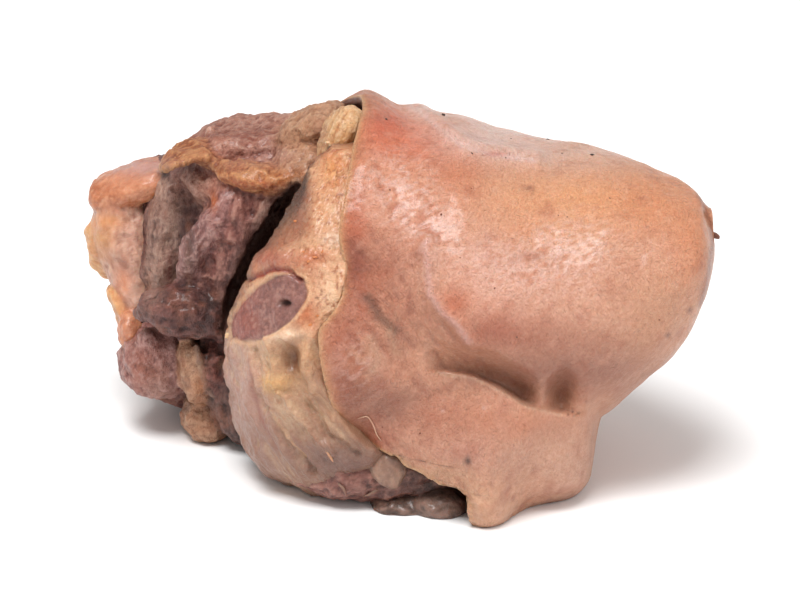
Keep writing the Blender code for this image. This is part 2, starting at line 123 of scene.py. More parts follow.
def crags(x, y, z, size, seed):
    """Uneven relief, mostly from -1 to 1: plane waves about size mm long, bent by others, all seeded."""
    draw = np.random.default_rng(seed)
    points = np.stack((x, y, z), axis=-1)
    total = np.zeros_like(x)
    weight = 0.0
    for octave in range(3):
        wave = 2.0 * math.pi / (size * 0.62 ** octave)
        share = 0.66 ** octave
        for _ in range(5):
            way, bend = draw.normal(size=(2, 3))
            phase = draw.uniform(0.0, 2.0 * math.pi, 2)
            warp = 0.9 * np.sin(0.55 * wave * points @ (bend / np.linalg.norm(bend)) + phase[1])
            total += share * np.sin(wave * points @ (way / np.linalg.norm(way)) + phase[0] + warp)
            weight += share
    return 2.2 * total / weight


def lattice(cell, seed):
    """Random number from -1 to 1 for each whole-numbered cell corner, from a mixing of its three indices."""
    key = (cell[..., 0] * 73856093) ^ (cell[..., 1] * 19349663)
    key = key ^ (cell[..., 2] * 83492791) ^ (seed * 2654435)
    key = (key ^ (key >> 13)) * 1274126177
    key = key ^ (key >> 16)
    return (key & 0xFFFF) / 32767.5 - 1.0


def cloud(points, size, seed, octaves=1, gain=0.5):
    """Random field from -1 to 1: lattice values blended smoothly between corners, in halving octaves."""
    total = np.zeros(points.shape[:-1])
    weight = 0.0
    share = 1.0
    for octave in range(octaves):
        q = points / (size * 0.5 ** octave) + 31.7 * (seed + octave)
        cell = np.floor(q).astype(np.int64)
        f = q - cell
        f = f * f * f * (f * (f * 6.0 - 15.0) + 10.0)
        field = np.zeros(points.shape[:-1])
        for corner in range(8):
            step = np.array((corner & 1, (corner >> 1) & 1, (corner >> 2) & 1))
            blend = np.prod(np.where(step == 1, f, 1.0 - f), axis=-1)
            field += blend * lattice(cell + step, seed + octave)
        total += share * field
        weight += share
        share *= gain
    return total / weight


def ridges(points, size, seed, octaves=2):
    """Thin raised folds between flat areas: 1 minus the size of a random field, squared."""
    return (1.0 - np.abs(cloud(points, size, seed, octaves))) ** 2


def distance_to_line(px, ph, line):
    """Distance in the front view from points to a line of straight pieces."""
    best = np.full(np.shape(px), np.inf)
    for (ax, ah), (bx, bh) in zip(line[:-1], line[1:]):
        length2 = (bx - ax) ** 2 + (bh - ah) ** 2
        t = np.clip(((px - ax) * (bx - ax) + (ph - ah) * (bh - ah)) / length2, 0.0, 1.0)
        best = np.minimum(best, np.hypot(px - ax - t * (bx - ax), ph - ah - t * (bh - ah)))
    return best


def height_over_line(px, ph, line):
    """How far points lie above a line that runs left to right in the front view."""
    return ph - curve(line, px)


# The front view

def view_height(y, z):
    """Height of a point as it shows from the front at the view tilt, without perspective."""
    return z * TILT_COS + y * TILT_SIN


def seen(points):
    """Where points show in the front view: x and height in mm at the view centre's distance."""
    x, y, z = points[..., 0], points[..., 1], points[..., 2]
    away = y * TILT_COS - (z - VIEW_CENTRE[2]) * TILT_SIN
    spread = 1.0 + away / VIEW_DISTANCE
    return x / spread, VIEW_MIDDLE + (view_height(y, z) - VIEW_MIDDLE) / spread


def at(x, height, y):
    """Point at depth y that shows at (x, height) in the front view."""
    spread = 1.0 + y * TILT_COS / VIEW_DISTANCE
    height = VIEW_MIDDLE + (height - VIEW_MIDDLE) * spread
    return (x * spread, y, (height - y * TILT_SIN) / TILT_COS)


# Colour

def tone(red, green, blue):
    """Linear colour from the usual 0 to 255 values."""
    value = np.array((red, green, blue), float) / 255.0
    return np.where(value <= 0.04045, value / 12.92, ((value + 0.055) / 1.055) ** 2.4)


def mix(base, colour, share):
    """Colours moved towards another by a share from 0 to 1."""
    share = np.clip(share, 0.0, 1.0)[..., None]
    return base * (1.0 - share) + colour * share


def layered(base, layers):
    """Lays one colour after another over a base: (tone, share from 0 to 1)."""
    for colour, share in layers:
        base = mix(base, tone(*colour), share)
    return base


# Meshes

LOWEST = 0.25
RIND_LOWEST = 0.1


def linked(name, data):
    """Object of a mesh, lamp or camera, put into the scene."""
    thing = bpy.data.objects.new(name, data)
    bpy.context.scene.collection.objects.link(thing)
    return thing


def outward_mesh(name, points, faces):
    """Mesh with all its faces turned outwards."""
    mesh = bpy.data.meshes.new(name)
    mesh.from_pydata(points.tolist(), [], faces)
    work = bmesh.new()
    work.from_mesh(mesh)
    bmesh.ops.recalc_face_normals(work, faces=work.faces)
    work.to_mesh(mesh)
    work.free()
    return mesh


def rest_on_floor(points, level=LOWEST):
    """Flattens what reaches under the resting plane."""
    points = points.copy()
    points[:, 2] = np.maximum(points[:, 2], level)
    return points


def make_piece(name, points, faces, colours, material, gloss=None):
    """Piece from points in the maker's frame and faces, painted by a colour for each point."""
    mesh = outward_mesh(name, (points + SHIFT) * MM, faces)
    paint(mesh, colours, gloss)
    mesh.shade_smooth()
    mesh.materials.append(material)
    piece = linked(name, mesh)
    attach(piece, "root")
    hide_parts(NODE)


def paint(mesh, colours, gloss=None):
    """Stores a linear colour, and a wetness from 0 to 1, for each point of a mesh."""
    layer = mesh.color_attributes.new("paint", "FLOAT_COLOR", "POINT")
    rgba = np.ones((len(mesh.vertices), 4))
    rgba[:, :3] = np.clip(colours, 0.0, 1.0)
    layer.data.foreach_set("color", rgba.ravel())
    wet = mesh.attributes.new("wet", "FLOAT", "POINT")
    if gloss is None:
        gloss = np.full(len(mesh.vertices), 0.5)
    wet.data.foreach_set("value", np.clip(gloss, 0, 1))


def tube_faces(count, places):
    """Faces of a tube of rings, as point numbers, with fans to the two end points after the rings."""
    i, j = np.meshgrid(np.arange(count - 1), np.arange(places), indexing="ij")
    k = (j + 1) % places
    quads = np.stack((i * places + j, i * places + k, (i + 1) * places + k, (i + 1) * places + j), axis=-1)
    ring = np.arange(places)
    after = (ring + 1) % places
    start = (count - 1) * places
    end = np.full(places, count * places)
    first_fan = np.stack((end, after, ring), axis=-1)
    last_fan = np.stack((end + 1, start + ring, start + after), axis=-1)
    return quads.reshape(-1, 4).tolist() + first_fan.tolist() + last_fan.tolist()


def make_tube(name, grid, first_end, colours, material, gloss, level=LOWEST):
    """Piece from a grid of rings, closed at a given point and at the middle of the last ring."""
    points = np.vstack((grid.reshape(-1, 3), [first_end], [grid[-1].mean(axis=0)]))
    colours = np.vstack((colours.reshape(-1, 3), colours[0, :1], colours[-1, :1]))
    gloss = np.concatenate((gloss.ravel(), (0.5, 0.5)))
    faces = tube_faces(*grid.shape[:2])
    make_piece(name, rest_on_floor(points, level), faces, colours, material, gloss)


def grid_normals(grid):
    """Outward direction at each point of a ring grid that closes on itself across its second axis."""
    along = np.gradient(grid, axis=0)
    across = np.roll(grid, -1, axis=1) - np.roll(grid, 1, axis=1)
    normal = np.cross(across, along)
    normal = normal / np.maximum(np.linalg.norm(normal, axis=-1, keepdims=True), 1e-9)
    from_middle = grid - grid.mean(axis=1, keepdims=True)
    return normal * np.sign((from_middle * normal).sum(axis=-1).mean())


def streaked(points, way, ratio):
    """Points squeezed along a direction, so that a random field read at them runs in streaks along it."""
    way = np.array(way, float) / np.linalg.norm(way)
    return points - ((points @ way) * (1.0 - 1.0 / ratio))[..., None] * way


def crowded_angles(count, density):
    """Angles in degrees from -180 to 180, spaced by the inverse of a density."""
    fine = np.linspace(-180.0, 180.0, 2001)
    weight = density(fine)
    total = np.concatenate(([0.0], np.cumsum(0.5 * (weight[1:] + weight[:-1]))))
    return np.interp(np.linspace(0.0, total[-1], count, endpoint=False), total, fine)


def painted_spots(base, x, height, spots, where=1.0):
    """Lays soft oval patches over a colour: (x, height, half-width, half-height, tone, share)."""
    for *place, colour, share in spots:
        base = mix(base, tone(*colour), where * spot(x, height, (*place, share)))
    return base


def painted_lines(base, x, height, lines, where=1.0):
    """Lays soft lines over a colour: (line, half-width, tone, share)."""
    for line, width, colour, share in lines:
        reach = share * hump(distance_to_line(x, height, line), width)
        base = mix(base, tone(*colour), where * reach)
    return base


# Rind

RIGHT_END = 85.4
CORE_Y = 6.0
CORE_Y_RIGHT = -5.0
CORE_Z = 46.0
CORE_Z_RIGHT = 67.5
DEPTH_BACK = 50.0
DEPTH_FRONT = 47.0
SECTION_POWER = 2.15

RIND_TOP = ((-90, 74), (-66, 82), (-45, 88), (-24, 95), (-11, 96.5), (0, 95.2), (14, 95), (27, 91.6),
            (40, 88.6), (52, 86.6), (66, 82.2), (77, 77.6), (81, 74.6), (84.2, 66.5), (85.4, 61.5))
DOME_BOTTOM = ((-90, 26), (-60, 14), (-20, 6), (20, 8), (40, 10), (54.8, 13), (63, 20), (71, 27),
               (77.5, 34.8), (81.6, 42.5), (83.8, 49), (84.8, 55), (85.4, 60.5))
HALF_DEPTH = ((-90, 0.62), (-60, 0.86), (-20, 1), (20, 1), (50, 0.90), (66, 0.74), (76, 0.60),
              (82, 0.42), (84.4, 0.22), (85.4, 0.06))
# Edge of the rind: (angle on the section, x, angle that its line runs out to on the right)
RIND_EDGE = ((-172, -79, -172), (-150, -62, -150), (-125, -36, -125), (-95, -8, -98), (-74, 13, -80),
             (-58, 21, -62), (-49, 20.2, -51), (-43, 18.8, -44.5), (-38.5, 17.6, -39), (-35.6, 14.6, -34.5),
             (-36, 8.2, -32), (-34.8, 3, -30), (-33.2, -3, -28), (-32.4, -9, -26),
             (-26.3, -14.9, -22), (-13.6, -18.7, -12.6),
             (-2, -20.9, -2), (10, -21.8, 10), (17.5, -17.9, 17.5), (24.6, -15.4, 24.6), (34, -15.1, 34),
             (42, -16.2, 42), (53, -14.8, 53), (71, -12.6, 71), (90, -10, 90), (104, -13.5, 104),
             (114, -22, 114), (124, -44, 124), (134, -68, 134), (150, -83, 150), (172, -84, 172))

CREASE = ((8, 24.8), (11, 24.7), (19, 23.8), (24.7, 21.6), (30.1, 18.9), (35.6, 15.6), (43.8, 13.7),
          (52, 12.2), (57, 11.6))
CREASE_DEPTH = ((7, 0), (12, 2.4), (19, 4.6), (26, 6.6), (33, 6.6), (39, 2.8), (44, 5.6), (48, 2.2), (51, 0))
VALLEY = ((-9, 52), (-4, 40), (3, 31), (10, 26))
VALLEY_DEPTH = 5.6
VALLEY_WIDTH = 9
FRONT_SPOTS = ((27, 42, 18, 13, 3.2),)
HOLLOWS = ((44.6, 20.6, 3.4, 4.6, 4.5), (38.8, 19, 2.6, 5, -2.4))
BULGE_EDGE = ((6.8, 60), (8.2, 46), (11.5, 41), (15.6, 37.4), (19, 32.5))
BULGE_EDGE_HEIGHT = 2.2
BULGE_EDGE_WIDTH = 2.2
SHOULDER = ((3, 97.6), (10.5, 91.8), (17.3, 86.6), (24, 84.4), (36.7, 82.6))
SHOULDER_HEIGHT = 2.2
SHOULDER_WIDTH = 2.4
RIM_HUMP = (-8.5, 96, 8, 16, 5)
RIND_UNEVEN = 0.5
RIND_UNEVEN_SIZE = 26

FOOT_FRONT = ((-40, 30), (-14, 38), (4, 48), (16, 54), (23, 57), (30, 53), (38, 47),
              (46, 42), (50, 37), (53, 27), (56, 4))
FOOT_BACK = ((-70, 20), (-40, 40), (-10, 46), (20, 42), (40, 33), (50, 24), (56, 4))
FOOT_DEPTH = ((-80, 20), (-60, 45), (-30, 47), (10, 51), (24, 56), (46, 55), (51, 53), (54, 43), (57, 6))
FOOT_ABOVE = 12
FOOT_POWER = 4
FOOT_NECK = 0.70
JOIN_SOFTNESS = ((40, 1.6), (54, 4.6))

BEHIND_MEAT = (4, 10, CORE_Z)
END_GAP = 0.3
END_CUT = (0.80, 0.58, 0.14)
END_CUT_REACH = 78.6
END_CUT_ROUND = 3
END_CUT_DIP = 1
END_CUT_BULGE = 0.12

RIM_RADIUS = 48.0
RIND_PLACES = 620
RIND_RINGS = 152


def ellipse_radius(angle, front, back, above, below, power):
    """Radius at an angle of an oval with four half-axes (angle 0 front, 90 top, 180 back)."""
    level = np.cos(angle)
    rise = np.sin(angle)
    across = np.where(level > 0, front, back)
    upright = np.where(rise > 0, above, below)
    return ((np.abs(level) / across) ** power + (np.abs(rise) / upright) ** power) ** (-1.0 / power)


def rind_points(x, angle):
    """Surface of the rind: oval sections that keep the outline, joined softly to the foot, then creased.

    The half-axes above and below follow from the outline: a tilted view of an oval shows
    the square root of (half-height x cos)^2 + (half-depth x sin)^2 from its middle.
    Returns the points and how far each lay past the second cut end.
    """
    scale = curve(HALF_DEPTH, x)
    front = DEPTH_FRONT * scale
    back = DEPTH_BACK * scale
    centre = curve(((-90, CORE_Z), (-10, CORE_Z), (30, 49.5), (60, 56), (RIGHT_END, CORE_Z_RIGHT)), x)
    middle = curve(((-90, CORE_Y), (30, CORE_Y), (RIGHT_END, CORE_Y_RIGHT)), x)
    shown = view_height(middle, centre)
    over = np.maximum((curve(RIND_TOP, x) - shown) ** 2 - (back * TILT_SIN) ** 2, 4.0)
    under = np.maximum((shown - curve(DOME_BOTTOM, x)) ** 2 - (front * TILT_SIN) ** 2, 4.0)
    above = np.sqrt(over) / TILT_COS
    below = np.sqrt(under) / TILT_COS
    dome = ellipse_radius(angle, front, back, above, below, SECTION_POWER)
    foot = ellipse_radius(angle, curve(FOOT_FRONT, x), curve(FOOT_BACK, x), FOOT_ABOVE,
                          curve(FOOT_DEPTH, x), FOOT_POWER)
    foot = foot * (FOOT_NECK + (1.0 - FOOT_NECK) * ramp(-np.sin(angle), 0.06, 0.46))
    soft = curve(JOIN_SOFTNESS, x)
    radius = soft * np.logaddexp(dome / soft, foot / soft)
    y = middle - radius * np.cos(angle)
    z = centre + radius * np.sin(angle)
    height = view_height(y, z)
    toward = BULGE_EDGE_HEIGHT * hump(distance_to_line(x, height, BULGE_EDGE), BULGE_EDGE_WIDTH)
    toward = toward - VALLEY_DEPTH * hump(distance_to_line(x, height, VALLEY), VALLEY_WIDTH)
    toward = with_spots(toward, x, height, FRONT_SPOTS)
    raised = SHOULDER_HEIGHT * hump(distance_to_line(x, height, SHOULDER), SHOULDER_WIDTH)
    raised = raised + spot(x, height, RIM_HUMP)
    radius = radius + ramp(middle - y, -4.0, 8.0) * toward + ramp(z - centre, 0.0, 20.0) * raised
    radius = radius + RIND_UNEVEN * crags(x, y, z, RIND_UNEVEN_SIZE, 3)
    points = np.stack((x, middle - radius * np.cos(angle), centre + radius * np.sin(angle)), axis=-1)
    normal = np.array(END_CUT) / np.linalg.norm(END_CUT)
    past = points @ normal - END_CUT_REACH
    beyond = END_CUT_ROUND * np.logaddexp(0.0, past / END_CUT_ROUND)
    pull = beyond * (1.0 - END_CUT_BULGE) + END_CUT_DIP * ramp(past, 2.0, 8.0)
    return points - pull[..., None] * normal, past


# Colours of the rind's front: oval patches and lines, (x, height) in the front view
# Wrinkled sheen (x, height, half-width, half-height, share): fine folds, painted highlight and painted shade
WRINKLED_SHEEN = ((0, 76, 9, 9, 1), (8, 64, 7, 8, 0.7), (36, 54, 20, 9, 0.75),
         (50, 62, 12, 6, 0.5), (-12, 26, 6, 8, 0.5))
RIND_TONE = (226, 172, 144)
RIND_PATCHES = (
    # red-orange roasted places along the rim and the wine-red one; painted shade in the valley; darker
    # patches low down
    (-3, 92, 8, 6, (210, 84, 46), 0.85), (3, 87, 12, 6, (232, 100, 0), 0.92),
    (-13, 83, 4, 7, (216, 130, 80), 0.7), (-14, 68, 3.5, 8, (186, 88, 56), 0.85),
    (15, 79, 9, 7, (212, 124, 82), 0.7), (-12, 66, 4.5, 11, (196, 102, 68), 0.75),
    (-12.6, 54, 3.8, 6, (122, 44, 38), 0.8), (-11, 44, 6, 9, (176, 90, 62), 0.7),
    (-3, 54, 6, 12, (176, 98, 70), 0.6), (3, 42, 6, 8, (206, 136, 108), 0.5),
    (-17, 33, 5, 8, (178, 92, 60), 0.7), (-14, 20, 7, 8, (156, 84, 58), 0.8),
    (-8, 17, 8, 6, (150, 92, 72), 0.6),
    # painted highlight: the pale sheen of the top left and the broad pink sheen of the dome
    (-2, 75, 11, 9, (244, 186, 160), 0.8), (8, 66, 9, 8, (226, 168, 148), 0.6),
    (30, 55, 20, 9, (240, 194, 178), 0.6), (24, 45, 12, 6, (240, 188, 168), 0.55),
    (46, 44, 16, 6, (236, 188, 166), 0.5), (48, 62, 14, 6, (246, 208, 182), 0.5),
    # amber top, orange far end, and painted shade: the darker brown-pink of the lower dome and above the
    # crease
    (50, 72, 26, 8, (248, 184, 134), 0.8), (36, 64, 12, 6, (230, 162, 120), 0.5),
    (26, 36, 12, 5, (182, 100, 74), 0.75), (15, 43.5, 5, 4, (204, 112, 74), 0.7),
    (40, 33, 14, 5, (190, 122, 98), 0.6),
    (56, 26, 18, 8, (176, 126, 108), 0.75), (38, 24, 20, 6, (158, 108, 92), 0.7),
    (70, 42, 12, 12, (220, 168, 134), 0.6), (68, 71, 12, 9, (230, 156, 112), 0.7),
    (80, 60, 6, 12, (228, 154, 110), 0.7),
    # the flap: mauve-brown left, orange right under the crease, paler heel and toe
    (0, 14, 12, 8, (166, 116, 98), 0.75), (14, 12, 12, 6, (192, 132, 108), 0.6),
    (34, 10, 14, 4, (202, 132, 100), 0.7), (-8, 6, 6, 4, (188, 98, 74), 0.6),
    (20, 2, 12, 7, (198, 150, 134), 0.6), (44, 0, 12, 9, (220, 178, 156), 0.75),
    (24, -12, 10, 8, (232, 186, 154), 0.85), (8, -3, 8, 2.6, (212, 168, 132), 0.7),
    (16.5, -8, 3.6, 5, (222, 176, 138), 0.7),
    # lilac hump on the rim, painted highlight on the ridge by it, paler back slope; darker valley patch is
    # painted shade
    (-12, 99, 5, 3, (156, 88, 74), 0.8), (7, 96.5, 6, 3, (250, 220, 208), 0.8),
    (26, 90, 20, 6, (246, 220, 212), 0.9), (48, 84, 16, 4, (240, 202, 182), 0.7),
    (33, 85.5, 10, 3, (244, 214, 204), 0.6), (-11, 30, 3, 3, (208, 162, 134), 0.6),
    (-2, 32, 6, 6, (172, 118, 96), 0.6),
)
RIND_MARKS = (
    (18.6, 0.3, 0.7, 1.3, (72, 38, 32), 0.95), (-1, 70, 1.6, 0.9, (186, 112, 84), 0.7),
    (4.6, 57, 1.8, 0.8, (178, 116, 96), 0.6), (36, 56.4, 3.2, 1.4, (178, 112, 84), 0.6),
    (35.6, 75.1, 1.3, 0.7, (140, 84, 66), 0.7), (26, 84.5, 3.4, 0.9, (206, 132, 118), 0.6),
    (79.5, 41.6, 0.7, 0.9, (120, 70, 56), 0.7), (73.4, 34.8, 0.7, 0.7, (120, 72, 56), 0.7),
)
# Rings of the cut edge inwards: (depth, shift to the right at the back, tone); the two deepest tones are
# dark, painted shade inside the cut
EDGE_RINGS = ((0.6, 0, (228, 186, 140)), (1.3, 0, (216, 166, 118)), (2.1, 0, (188, 132, 94)),
              (3.2, 4, (120, 76, 60)), (6, 14, (96, 60, 50)))
BACK_EDGE_TONE = (128, 84, 68)
FLAP_SPOTS = ((24, -14.5, 7.5, 6, 3.4), (44, -4.5, 8, 7, 1.6), (34, -8, 4, 8, -1))
# Lines of the rind's front: (line, half-width, tone, share)
RIND_LINES = (
    # painted highlight along the bulge's edge
    (((6.8, 60), (8.2, 46), (11.5, 41), (15.6, 37.4), (18.8, 33)), 0.9, (232, 192, 186), 0.6),
    # painted shade in the pucker, then painted highlights on the two folds beside it
    (((-8.8, 45), (-5.6, 40), (-1.4, 36)), 1.5, (112, 84, 70), 0.65),
    (((-8.2, 34), (-6, 28), (-8.5, 24)), 1.3, (206, 168, 142), 0.55),
    (((-3, 36), (-1, 30)), 1.2, (204, 168, 142), 0.5),
    # painted highlight on the shoulder, then on the crease's lower lip, then the browned edge of the far end
    (SHOULDER, 0.7, (240, 214, 210), 0.6),
    (((10, 24.3), (19, 23.2), (24.7, 20.9), (30.1, 18.2), (35.6, 14.9), (44, 13)), 0.5,
     (214, 176, 150), 0.7),
    (((81.8, 74), (84.9, 66), (85.6, 60), (84.4, 51), (82.4, 43)), 0.8, (146, 82, 50), 0.7),
)


def rind_grid():
    """Skin from the ragged rim to the rounded end, rings evenly spaced on average.

    The rim is a closed curve of angle and x. Each line of the grid starts there and swings, over the
    first two fifths of its way, to the angle that it keeps to the far end. Where the rim runs level,
    lines hold back at first and climb away from it, so that they don't cross.
    """
    place = np.arange(len(RIND_EDGE) + 1, dtype=float)
    first_angle, first_x, first_run = RIND_EDGE[0]
    closed = RIND_EDGE + ((first_angle + 360.0, first_x, first_run + 360.0),)
    fine = np.linspace(0.0, place[-1], 6001)
    angle, edge, run = (curve(list(zip(place, [point[k] for point in closed])), fine) for k in range(3))
    seen_share = 0.40 + 0.80 * hump((angle + 180.0) % 360.0 - 180.0 - 8.0, 100.0)
    turned, ran = (np.diff(np.radians(values)) * RIM_RADIUS for values in (angle, run))
    step = np.hypot(np.diff(edge), turned) + 0.5 * ran
    length = np.concatenate(([0.0], np.cumsum(step * seen_share[1:])))
    even = np.interp(np.linspace(0.0, length[-1], RIND_PLACES, endpoint=False), length, fine)
    angle, edge, run = (np.interp(even, fine, values) for values in (angle, edge, run))
    turn = np.radians(angle)
    rise = np.gradient(turn) * 46.0
    level = np.abs(np.gradient(edge)) / np.hypot(np.gradient(edge), rise)
    hold = 0.9 * ramp(level, 0.4, 0.9) * hump(angle + 36.0, 16.0)
    hold = np.convolve(np.concatenate((hold[-12:], hold, hold[:12])), np.ones(25) / 25.0, "valid")
    ragged = np.stack((edge, np.cos(turn) * 45.0, np.sin(turn) * 45.0), axis=-1)
    crumbly = 0.35 + 1.5 * hump(angle + 40.0, 9.0)
    edge = edge + crumbly * cloud(ragged, 3.4, 71, 3, 0.7)
    angle = angle + crumbly * 1.4 * cloud(ragged, 3.0, 72, 3, 0.7)
    coarse = np.linspace(0.0, 1.0, 400)

    def lines(share):
        reach = share[:, None] * (1.0 - hold * np.exp(-share[:, None] / 0.05))
        x = edge[None, :] + reach * (RIGHT_END - END_GAP - edge[None, :])
        swing = 1.0 - (1.0 - np.clip(share / 0.4, 0.0, 1.0)[:, None]) ** 2
        return rind_points(x, np.radians(angle[None, :] * (1.0 - swing) + run[None, :] * swing))

    trial, _ = lines(coarse)
    step = np.linalg.norm(np.diff(trial, axis=0), axis=-1).mean(axis=1)
    length = np.concatenate(([0.0], np.cumsum(step)))
    points, past = lines(np.interp(np.linspace(0.0, length[-1], RIND_RINGS), length, coarse))
    return points, past, angle


def pushed_in(grid):
    """Pushes the crease and the hollow beside it into the front along the view: sharp below, soft above."""
    x, height = seen(grid)
    over = height_over_line(x, height, CREASE)
    depth = curve(CREASE_DEPTH, x) * ramp(over, -0.4, 0.9) * (1.0 - ramp(over, 2.5, 10.0))
    depth = with_spots(depth, x, height, HOLLOWS)
    front = ramp(-grid[..., 1], 10.0, 20.0)
    return grid - (front * depth)[..., None] * TO_VIEWER


def rind():
    """The skin with its wrinkles, its cut edge turned inwards, and the fill behind it."""
    grid, past, angle = rind_grid()
    grid = pushed_in(grid)
    normal = grid_normals(grid)
    x, height = seen(grid)
    front = ramp(-normal[..., 1] + 0.45 * normal[..., 2], -0.1, 0.25)
    rim = np.linalg.norm(grid - grid[:1], axis=-1)
    calm = ramp(x, 24.0, 46.0) * ramp(-height, -10.0, 0.0) * front
    drawn = streaked(grid, (0.55, 0.1, -0.8), 3.6)
    fine = streaked(grid, (0.5, 0.0, 0.86), 2.2)
    wrinkle = ridges(drawn, 2.6, 5, 2) - 0.55
    crossing = ridges(streaked(grid, (0.6, 0.0, 0.7), 3.0), 2.2, 6, 2) - 0.55
    pucker = hump(distance_to_line(x, height, VALLEY), 13.0) * front
    near_rim = hump(rim, 24.0)
    relief = (0.08 + 0.42 * pucker + 0.22 * near_rim) * (wrinkle + 0.5 * crossing) * (1.0 - 0.7 * calm)
    relief = relief + 0.09 * cloud(fine, 1.5, 8, 2) * (1.0 - 0.6 * calm) + 0.35 * cloud(grid, 9.0, 12, 2)
    # wrinkled sheen: extra fine folds, painted highlight on their crests and painted shade in them
    wrinkled_sheen = with_spots(np.zeros(x.shape), x, height, WRINKLED_SHEEN, front)
    sheen_folds = ridges(streaked(grid, (0.75, 0.0, 0.5), 2.6), 1.5, 24, 2) - 0.55
    relief = relief + 0.30 * wrinkled_sheen * sheen_folds
    relief = with_spots(relief, x, height, FLAP_SPOTS, ramp(-grid[..., 1], 10.0, 20.0))
    crumbs = hump(rim, 2.6) * ramp(-height, -5.0, 1.0) * front
    relief = relief + 0.9 * crumbs * cloud(grid, 1.7, 9, 2)
    grid = grid + normal * (relief * ramp(rim, 0.0, 1.2))[..., None]

    hidden = 1.0 - front
    colours = layered(tone(*RIND_TONE), (
        ((204, 138, 104), 0.7 * hidden * ramp(cloud(grid, 24.0, 14, 2), -0.2, 0.5)),
        ((196, 150, 140), 0.7 * hidden * ramp(-x, 30.0, 60.0))))
    colours = painted_spots(colours, x, height, RIND_PATCHES, front)
    folds = ramp(-wrinkle - 0.5 * crossing, 0.1, 0.5)
    colours = layered(colours, (
        ((240, 192, 168), 0.26 * ramp(cloud(fine, 2.2, 15, 3, 0.65), 0.0, 0.7)),
        ((176, 100, 74), 0.35 * ramp(-cloud(grid, 5.0, 16, 3, 0.6), 0.05, 0.7)),
        # painted shade in the wrinkle grooves near the rim and, on the next line, in the pucker
        ((168, 92, 68), 0.55 * folds * near_rim * front),
        ((156, 96, 78), 0.45 * ramp(-wrinkle, 0.1, 0.45) * pucker),
        # painted highlight on the crests of the sheen's folds, painted shade in the folds
        ((246, 212, 204), 0.55 * wrinkled_sheen * ramp(sheen_folds, -0.05, 0.25)),
        ((206, 126, 92), 0.45 * wrinkled_sheen * ramp(-sheen_folds, 0.08, 0.35))))
    colours = painted_lines(colours, x, height, RIND_LINES, front)
    colours = painted_spots(colours, x, height, RIND_MARKS, front)
    end_meat = ramp(past, 2.2, 4.0)
    colours = layered(colours, (
        ((208, 138, 88), 0.6 * hump(rim, 2.2) * front),
        ((226, 184, 140), 0.8 * hump(rim, 0.9) * front),
        ((228, 188, 150), 0.8 * crumbs),
        ((164, 108, 80), 0.7 * crumbs * ramp(-cloud(grid, 1.7, 9, 2), 0.1, 0.5)),
        ((176, 108, 70), ramp(past, -3.0, -0.5) * (1.0 - end_meat) * 0.8),
        ((214, 172, 132), ramp(past, 0.2, 1.0) * (1.0 - end_meat)),
        ((148, 96, 82), end_meat),
        ((188, 140, 120), 0.6 * end_meat * ramp(cloud(grid, 2.6, 18, 3), 0.0, 0.6))))
    wet = 0.45 + 0.35 * cloud(grid, 6.0, 19, 3) + 0.25 * hump((x - 15.0) / 14.0, 1.0) - 0.25 * calm

    # The cut edge turned inwards, then the hidden inner face of the skin
    back_edge = ramp(angle, 80.0, 100.0) + ramp(-angle, 80.0, 100.0)
    edge_rings = []
    edge_tones = []
    inward = (np.array((0.0, CORE_Y, CORE_Z)) - grid[0]) * np.array((0.0, 1.0, 1.0))
    inward /= np.linalg.norm(inward, axis=-1, keepdims=True)
    for depth, shift, colour in EDGE_RINGS:
        edge_rings.append(grid[0] + inward * depth + back_edge[:, None] * np.array((shift, 0.0, 0.0)))
        edge_tones.append(mix(tone(*colour), tone(*BACK_EDGE_TONE), back_edge))
    grid = np.concatenate((np.stack(edge_rings[::-1]), grid))
    colours = np.concatenate((np.stack(edge_tones[::-1]), colours))
    wet = np.concatenate((np.full((len(edge_rings),) + wet.shape[1:], 0.5), wet))
    make_tube("rind", grid, BEHIND_MEAT, colours, RIND_SKIN, wet, RIND_LOWEST)


# Cut end under the rind's front edge

WALL_AXIS = (-12, -7)
WALL_LEFT = ((0, -34), (6, -40), (14, -44), (26, -46), (38, -47.5), (47, -47), (61, -42.5), (70, -37),
             (78, -31.5), (88, -25), (96, -17))
WALL_FRONT = ((0, 17), (6, 25), (16, 30.5), (30, 32), (46, 32), (62, 29.5), (76, 22.5), (86, 12), (96, 3))
WALL_BACK = ((0, 15), (30, 15), (60, 15), (80, 14), (96, 10))
WALL_RIGHT = 14
WALL_TOP = 95
WALL_POWER = 2.3
WALL_RELIEF = 0.7
WALL_LEVELS = 230
WALL_PLACES = 330

# The dark gap behind it: centre line over the view height, half-width, depth of its middle and half-depth
GAP_X = ((34, -49), (42, -46.5), (52, -42.5), (62, -37), (71, -32), (79, -28))
GAP_WIDTH = ((34, 2.4), (42, 3.4), (52, 4.6), (62, 6), (71, 5.4), (79, 4))
GAP_Y = ((34, 3), (42, 1), (52, 1), (62, 3), (71, 4), (79, 4))
GAP_DEPTH = ((34, 12), (42, 16), (52, 18), (62, 19), (71, 18), (79, 17))

MUSCLE = (-36, 42.2, 12.6, 6.4, 38)
SLIT = ((-41.6, 50), (-38, 51.5), (-34.2, 52.8), (-30, 52.4), (-27.4, 50.4))
MUSCLE_HOLE = (-32, 43.4, 1.5, 0.9, -2.6)
DIMPLE = (-30.3, 27.5, 2.8, 4.8, -3.4)
CRUMBLY_LUMP = (-34.5, 21.6, 4.6, 2.4, 2.2)
UPPER_LOBE = (-35, 55, 8.5, 3.4, 1.3)
STREAK_WAY = (0.55, 0.1, -0.83)
